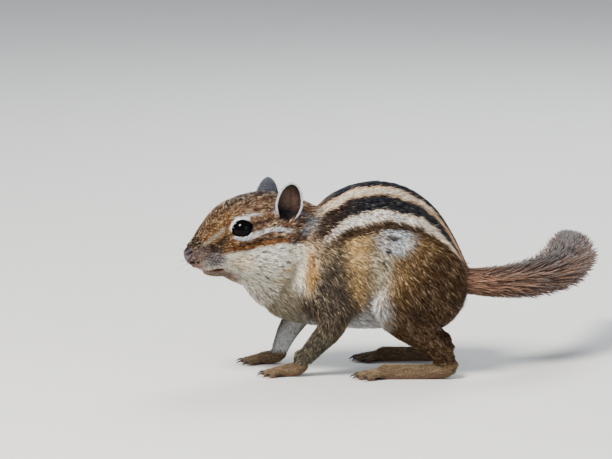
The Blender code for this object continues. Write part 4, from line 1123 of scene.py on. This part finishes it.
def zonesOf(points, masks):
    # a name for each tuft's piece of the coat
    atHead = toHead(points)
    names = np.array(["coat_back", "coat_face", "coat_cheeks", "coat_flanks", "coat_forelegs", "coat_haunches",
                      "coat_feet", "coat_ears", "coat_rump"])
    most = masks.argmax(1)
    zone = np.select(
        [most == 7, most == 6, (most == 4) | (most == 5), most == 3, most == 2,
         (most == 0) & (atHead[:, 0] > 17), most == 0, points[:, 2] < 50],
        [7, 8, 6, 5, 4, 1, 2, 3], 0)
    return names[zone]


def growCoat(skin, masks, chart):
    points, normals, rootMasks = rootsOn(skin, masks)
    lie = lieOf(points, normals, rootMasks)
    across = np.cross(normals, lie)
    turn = coatPlan["wander"] * (draw.normal(0, 0.6, len(points)) + 0.9 * cloudy(points, 3.2, 1.7))
    lie = unit(lie * np.cos(turn)[:, None] + across * np.sin(turn)[:, None])
    across = np.cross(normals, lie)
    length, width, lift = sizesOf(points, rootMasks)
    length = length * draw.uniform(0.72, 1.25, len(points))
    width = width * draw.uniform(0.8, 1.2, len(points))
    lift = lift * draw.uniform(0.6, 1.3, len(points))
    curl = coatPlan["curl"] * draw.normal(0, 1, len(points))
    colours, grizzle = coatTones(points, rootMasks)
    colours = grizzled(colours, grizzle, points, rootMasks)
    places = mapPlaces(points, chart)
    shares = np.array((0.0, 0.45))
    middles = (points - coatPlan["sink"] * normals)[:, None] + lie[:, None] * (length[:, None] * shares)[..., None]
    middles = middles + normals[:, None] * ((lift + coatPlan["sink"])[:, None] * 1.5 * shares)[..., None]
    middles = middles + across[:, None] * ((curl * length)[:, None] * shares**2)[..., None]
    halves = width[:, None] / 2 * np.array((0.75, 1.0))
    tips = points + lie * length[:, None] + normals * (lift * 0.92)[:, None] + across * (curl * length)[:, None]
    thick = 0.35 * width + 0.03
    zones = zonesOf(points, rootMasks)
    pieces = []
    for zone in sorted(set(zones)):
        chosen = np.flatnonzero(zones == zone)
        parts = math.ceil(len(chosen) / coatPlan["most"])
        chosen = chosen[np.argsort(points[chosen, 0] + 40 * (points[chosen, 1] > 0))] if parts > 1 else chosen
        for part, some in enumerate(np.array_split(chosen, parts)):
            name = zone if parts == 1 else f"{zone}_{part + 1}"
            pieces.append(tuftMesh(name, (middles[some], halves[some]), tips[some], thick[some], normals[some],
                                   across[some], colours[some], places[some]))
    return pieces


tailCoat = dict(count=12300, first=3.0, last=96.0, length=(6.0, 12.5), width=0.44)


def growTail(chart):
    # long hair that follows the tail's curve, dark with pale tips, and a narrow point at the end
    count = tailCoat["count"]
    s = tailCoat["first"] + (tailCoat["last"] - tailCoat["first"]) * draw.random(count) ** 0.95
    angle = draw.uniform(-math.pi, math.pi, count)
    angle += 0.35 * np.sin(2 * angle)  # more hair at the two sides
    grown = smoothStep(s, 4, 34)
    length = tailCoat["length"][0] + (tailCoat["length"][1] - tailCoat["length"][0]) * grown
    length = length * draw.uniform(0.7, 1.1, count)
    size = tailCurve.size(s + 0.7 * length)
    reach = np.hypot(size[:, 2] * np.cos(angle), size[:, 3] * np.sin(angle)) * draw.uniform(0.3, 1.2, count)
    reach += 0.3 * draw.random(count)
    shares = np.array((0.0, 0.4, 0.8, 1.0))
    stations = s[:, None] + length[:, None] * shares
    spin = angle[:, None] + draw.normal(0, 0.10, count)[:, None] * shares
    height = -0.5 + (reach + 0.5)[:, None] * (1.35 * shares - 0.35 * shares**2)
    line = tailCurve.point(stations, spin, height)
    ahead = unit(line[:, 1] - line[:, 0])
    _, across, up = tailCurve.axes(s)
    outward = np.cos(angle)[:, None] * across + np.sin(angle)[:, None] * up
    side = unit(np.cross(outward, ahead))
    normal = np.cross(ahead, side)
    roots = line[:, 0]
    base = np.tile(tones["tailRoot"], (count, 1))
    paint(base, smoothStep(np.abs(np.sin(angle)), 0.3, 0.9) * 0.5, tones["tailDark"])
    width = tailCoat["width"] * draw.uniform(0.7, 1.2, count)
    halves = width[:, None] / 2 * np.array((0.8, 1.0, 0.75))
    obj = tuftMesh("coat_tail", (line[:, :3], halves), line[:, 3], 0.3 * width + 0.04, normal, side, base,
                   mapPlaces(roots, chart))
    grown = smoothStep(s, 0, 26)
    dark = grown[:, None] * np.array((0.0, 0.45, 0.95, 0.4))[None] * draw.uniform(0.35, 1.0, (count, 1))
    pale = (0.15 + 0.65 * grown)[:, None] * np.array((0.0, 0.0, 0.1, 1.0))[None] * draw.uniform(0.2, 1.0, (count, 1))
    lean = 1 + 0.25 * draw.normal(0, 1, count)
    colours = np.repeat(base[:, None], 4, 1) * lean.clip(0.5, 1.6)[:, None, None]
    colours += dark[..., None] * (tones["tailDark"] - colours)
    colours += pale[..., None] * (tones["tailTip"] - colours)
    each = np.repeat(colours[:, :3], 3, 1)
    each = np.concatenate([each, colours[:, 3:]], 1).reshape(-1, 3)
    packed = np.concatenate([each, np.ones((len(each), 1))], 1)
    obj.data.attributes["coat"].data.foreach_set("color", packed.ravel())
    return obj


# Materials

def material(name, roughness, **sockets):
    made = bpy.data.materials.new(name)
    made.use_nodes = True
    shader = made.node_tree.nodes["Principled BSDF"]
    shader.inputs["Roughness"].default_value = roughness
    for socket, value in sockets.items():
        shader.inputs[socket].default_value = value
    return made, made.node_tree, shader


def node(tree, kind, **settings):
    made = tree.nodes.new(kind)
    for key, value in settings.items():
        if key in made.inputs:
            made.inputs[key].default_value = value
        else:
            setattr(made, key, value)
    return made


def hairMaterial():
    made, tree, shader = material("hair_of_the_coat", 0.62, **{"Specular IOR Level": 0.25, "Sheen Weight": 0.06,
                                                               "Sheen Roughness": 0.4})
    colour = node(tree, "ShaderNodeAttribute", attribute_name="coat")
    coordinates = node(tree, "ShaderNodeTexCoord")
    streaks = node(tree, "ShaderNodeTexNoise", Scale=2600.0, Detail=3.0, Roughness=0.6)
    tree.links.new(coordinates.outputs["Object"], streaks.inputs["Vector"])
    shade = node(tree, "ShaderNodeMapRange")
    shade.inputs["To Min"].default_value = 0.78
    shade.inputs["To Max"].default_value = 1.22
    tree.links.new(streaks.outputs["Fac"], shade.inputs["Value"])
    mix = node(tree, "ShaderNodeVectorMath", operation="SCALE")
    tree.links.new(colour.outputs["Color"], mix.inputs[0])
    tree.links.new(shade.outputs["Result"], mix.inputs["Scale"])
    tree.links.new(mix.outputs["Vector"], shader.inputs["Base Color"])
    bump = node(tree, "ShaderNodeBump", Strength=0.25, Distance=0.0001)
    tree.links.new(streaks.outputs["Fac"], bump.inputs["Height"])
    tree.links.new(bump.outputs["Normal"], shader.inputs["Normal"])
    return made


def skinMaterial():
    # undercoat between the tufts, and leathery bare skin where the attribute bare says so
    made, tree, shader = material("skin_and_undercoat", 0.7, **{"Specular IOR Level": 0.3})
    colour = node(tree, "ShaderNodeAttribute", attribute_name="coat")
    bare = node(tree, "ShaderNodeAttribute", attribute_name="bare")
    coordinates = node(tree, "ShaderNodeTexCoord")
    fine = node(tree, "ShaderNodeTexNoise", Scale=1500.0, Detail=4.0, Roughness=0.65)
    pores = node(tree, "ShaderNodeTexVoronoi", Scale=4200.0)
    for texture in (fine, pores):
        tree.links.new(coordinates.outputs["Object"], texture.inputs["Vector"])
    shade = node(tree, "ShaderNodeMapRange")
    shade.inputs["To Min"].default_value = 0.65
    shade.inputs["To Max"].default_value = 1.2
    tree.links.new(fine.outputs["Fac"], shade.inputs["Value"])
    tint = node(tree, "ShaderNodeVectorMath", operation="SCALE")
    tree.links.new(colour.outputs["Color"], tint.inputs[0])
    tree.links.new(shade.outputs["Result"], tint.inputs["Scale"])
    tree.links.new(tint.outputs["Vector"], shader.inputs["Base Color"])
    wet = node(tree, "ShaderNodeMapRange")
    wet.inputs["To Min"].default_value = 0.85
    wet.inputs["To Max"].default_value = 0.42
    tree.links.new(bare.outputs["Fac"], wet.inputs["Value"])
    tree.links.new(wet.outputs["Result"], shader.inputs["Roughness"])
    height = node(tree, "ShaderNodeMix", data_type="FLOAT")
    tree.links.new(bare.outputs["Fac"], height.inputs["Factor"])
    tree.links.new(fine.outputs["Fac"], height.inputs["A"])
    tree.links.new(pores.outputs["Distance"], height.inputs["B"])
    bump = node(tree, "ShaderNodeBump", Strength=0.4, Distance=0.00012)
    tree.links.new(height.outputs["Result"], bump.inputs["Height"])
    tree.links.new(bump.outputs["Normal"], shader.inputs["Normal"])
    return made


def plainMaterial(name, colour, roughness, grain, scale, depth, **sockets):
    # one colour broken up by a fine grain, which also raises the surface a little
    made, tree, shader = material(name, roughness, **sockets)
    coordinates = node(tree, "ShaderNodeTexCoord")
    pattern = node(tree, "ShaderNodeTexNoise", Scale=scale, Detail=4.0)
    tree.links.new(coordinates.outputs["Object"], pattern.inputs["Vector"])
    ramp = node(tree, "ShaderNodeValToRGB")
    ramp.color_ramp.elements[0].color = (*(colour * (1 - grain)), 1)
    ramp.color_ramp.elements[1].color = (*np.clip(colour * (1 + grain), 0, 1), 1)
    tree.links.new(pattern.outputs["Fac"], ramp.inputs["Fac"])
    tree.links.new(ramp.outputs["Color"], shader.inputs["Base Color"])
    bump = node(tree, "ShaderNodeBump", Strength=0.3, Distance=depth)
    tree.links.new(pattern.outputs["Fac"], bump.inputs["Height"])
    tree.links.new(bump.outputs["Normal"], shader.inputs["Normal"])
    return made


# Dress the skin

def dressSkin():
    points = pointsOf(skin)
    colours, _ = coatTones(points, skinMasks)
    bare, bareTones = bareSkin(points, skinMasks)
    colours *= 0.6
    strong = smoothStep(bare, 0.55, 0.9)
    paint(colours, strong, bareTones)
    for name, values in (("coat", colours), ("bare", bare)):
        kind = "FLOAT_COLOR" if values.ndim == 2 else "FLOAT"
        attribute = skin.data.attributes.new(name, kind, "POINT")
        if values.ndim == 2:
            packed = np.concatenate([np.clip(values, 0, 1), np.ones((len(values), 1))], 1)
            attribute.data.foreach_set("color", packed.ravel())
        else:
            attribute.data.foreach_set("value", values)
    skin.data.materials.clear()
    skin.data.materials.append(skinMaterial())
    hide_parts(*skinPlan["nodes"], *skinPlan["paws"], "ear_left", "ear_right",
                "tail_base", "tail_middle", "tail_end")
    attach(skin, "root")


dressSkin()
print("markings on the skin")

chart = unwrapped(skin)
hair = hairMaterial()
coat = growCoat(skin, skinMasks, chart) + [growTail(chart)]
for piece in coat:
    piece.data.materials.append(hair)
    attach(piece, "root")
print("coat:", {piece.name: len(piece.data.polygons) for piece in coat})


# Eyes

def makeEye(side):
    low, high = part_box(f"eye_{sideNames[side]}")
    bm = bmesh.new()
    place = Matrix.Translation((low + high) / 2)
    turn = (headPlace().to_3x3() @ Vector(onSide(eye["looks"], side))).to_track_quat("Z", "Y").to_matrix().to_4x4()
    radius = (high.z - low.z) / 2
    bmesh.ops.create_uvsphere(bm, u_segments=64, v_segments=40, radius=radius)
    for vert in bm.verts:  # the clear front stands a little proud
        vert.co.z += 0.05 * radius * float(smoothStep(vert.co.z / radius, 0.62, 1.0))
    bmesh.ops.transform(bm, matrix=place @ turn, verts=bm.verts)
    ball = objectOf(f"eyeball_{sideNames[side]}", bm)
    ball.data.shade_smooth()
    return ball


eyeDark = plainMaterial("dark_eye", tone(12, 8, 8), 0.06, 0.25, 900.0, 0.00001, **{"Specular IOR Level": 0.2})
for side in (left, right):
    ball = makeEye(side)
    ball.data.materials.append(eyeDark)
    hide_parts(f"eye_{sideNames[side]}")
    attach(ball, "root")


# Claws and whiskers

clawHorn = plainMaterial("dark_claws", tone(62, 48, 42), 0.35, 0.35, 1400.0, 0.00003)
for kind, paw in paws.items():
    for side in (left, right):
        bm = bmesh.new()
        for root, ahead, length in toesOf(paw, side):
            rows = []
            for share, z, r in ((-0.15, 1.05, 0.42), (0.15, 1.4, 0.5), (0.5, 1.35, 0.4), (0.8, 0.9, 0.24), (1.0, 0.42, 0.09)):
                at = root + ahead * (length + share * paw["claw"])
                rows.append((at[0], at[1], z, r))
            addTube(bm, smoothRows(rows, 3), sides=8, flatten=0.8)
        claws = objectOf(f"claws_{kind}_{sideNames[side]}", bm)
        claws.data.shade_smooth()
        claws.data.materials.append(clawHorn)
        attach(claws, "root")

# Whiskers grow in rows from the pad: at each place of the plan, what the front one has, then what is added to the
# back of a row and to the lowest row
whiskerPlan = dict(rows=4, steps=4, roots=((37.7, 4.4, -6.4), (-2.3, 0.3, 0.0), (0.0, 0.0, -1.7)),
                   ways=((0.62, 1.0, 0.36), (-1.15, 0.0, 0.0), (0.0, 0.0, -0.7)), length=(11.0, 10.0),
                   droop=0.1, radius=0.07)


def addWhisker(bm, side, back, down):
    shares = np.array((1.0, back, down))
    root = shares @ np.array(whiskerPlan["roots"]) + draw.normal(0, 0.1, 3)
    way = unit(shares @ np.array(whiskerPlan["ways"]) + draw.normal(0, 0.03, 3))
    length = whiskerPlan["length"][0] + whiskerPlan["length"][1] * back
    t = np.linspace(0, 1, 8)
    line = root + np.outer(t, way) * length
    line[:, 2] -= whiskerPlan["droop"] * length * t**2
    line[:, 1] *= -side
    addTube(bm, np.column_stack([moved(line, headPlace()), whiskerPlan["radius"] * (1 - 0.8 * t)]), 4, False)


bm = bmesh.new()
for side in (left, right):
    for down in np.linspace(0, 1, whiskerPlan["rows"]):
        for back in np.linspace(0, 1, whiskerPlan["steps"]):
            addWhisker(bm, side, back, down)
whiskers = objectOf("whiskers", bm)
whiskers.data.shade_smooth()
whiskers.data.materials.append(plainMaterial("whisker_hair", tone(92, 84, 78), 0.4, 0.3, 700.0, 0.00001))
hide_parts("whiskers_left", "whiskers_right")
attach(whiskers, "root")
print("eyes, claws and whiskers")


# Floor, light and camera

studio = dict(floor=tone(214, 211, 205), size=1.4, worldTone=(0.80, 0.88, 1.0), world=0.5)
bm = bmesh.new()
bmesh.ops.create_grid(bm, x_segments=2, y_segments=2, size=studio["size"])
floor = objectOf("floor", bm)
floor.data.materials.append(plainMaterial("pale_floor", studio["floor"], 0.8, 0.02, 30.0, 0.0001))

world = bpy.data.worlds.new("studio")
bpy.context.scene.world = world
world.use_nodes = True
world.node_tree.nodes["Background"].inputs["Color"].default_value = (*studio["worldTone"], 1)
world.node_tree.nodes["Background"].inputs["Strength"].default_value = studio["world"]


def addLight(name, at, aim, size, power, colour):
    lamp = bpy.data.lights.new(name, "AREA")
    lamp.shape = "DISK"
    lamp.size = size
    lamp.energy = power
    lamp.color = colour
    obj = bpy.data.objects.new(name, lamp)
    obj.location = at
    obj.rotation_euler = (Vector(aim) - Vector(at)).to_track_quat("-Z", "Y").to_euler()
    bpy.context.scene.collection.objects.link(obj)


middle = (-0.02, -0.03, 0.045)
addLight("key", (-0.42, -0.5, 0.85), middle, 0.4, 15.0, (1.0, 0.97, 0.92))
addLight("fill", (0.6, -0.6, 0.4), middle, 0.7, 1.6, (0.9, 0.95, 1.0))
addLight("rim", (0.2, 0.7, 0.7), middle, 0.5, 5.0, (0.9, 0.95, 1.0))
bpy.context.scene.view_settings.look = "AgX - Medium High Contrast"

photo = dict(width=612, pixelsPerMm=2.75, elevation=9.0, lens=250.0, sensor=36.0,
             target=(-8.73, 0.0, 51.73))
distance = photo["lens"] / photo["sensor"] * photo["width"] / photo["pixelsPerMm"] * mm
tilt = math.radians(photo["elevation"])
camera = bpy.data.objects.new("camera", bpy.data.cameras.new("camera"))
camera.data.lens = photo["lens"]
camera.data.sensor_width = photo["sensor"]
camera.data.clip_end = 10
camera.location = toMetres @ Vector(photo["target"]) + distance * Vector((0, -math.cos(tilt), math.sin(tilt)))
camera.rotation_euler = (math.pi / 2 - tilt, 0, 0)
bpy.context.scene.collection.objects.link(camera)
bpy.context.scene.camera = camera
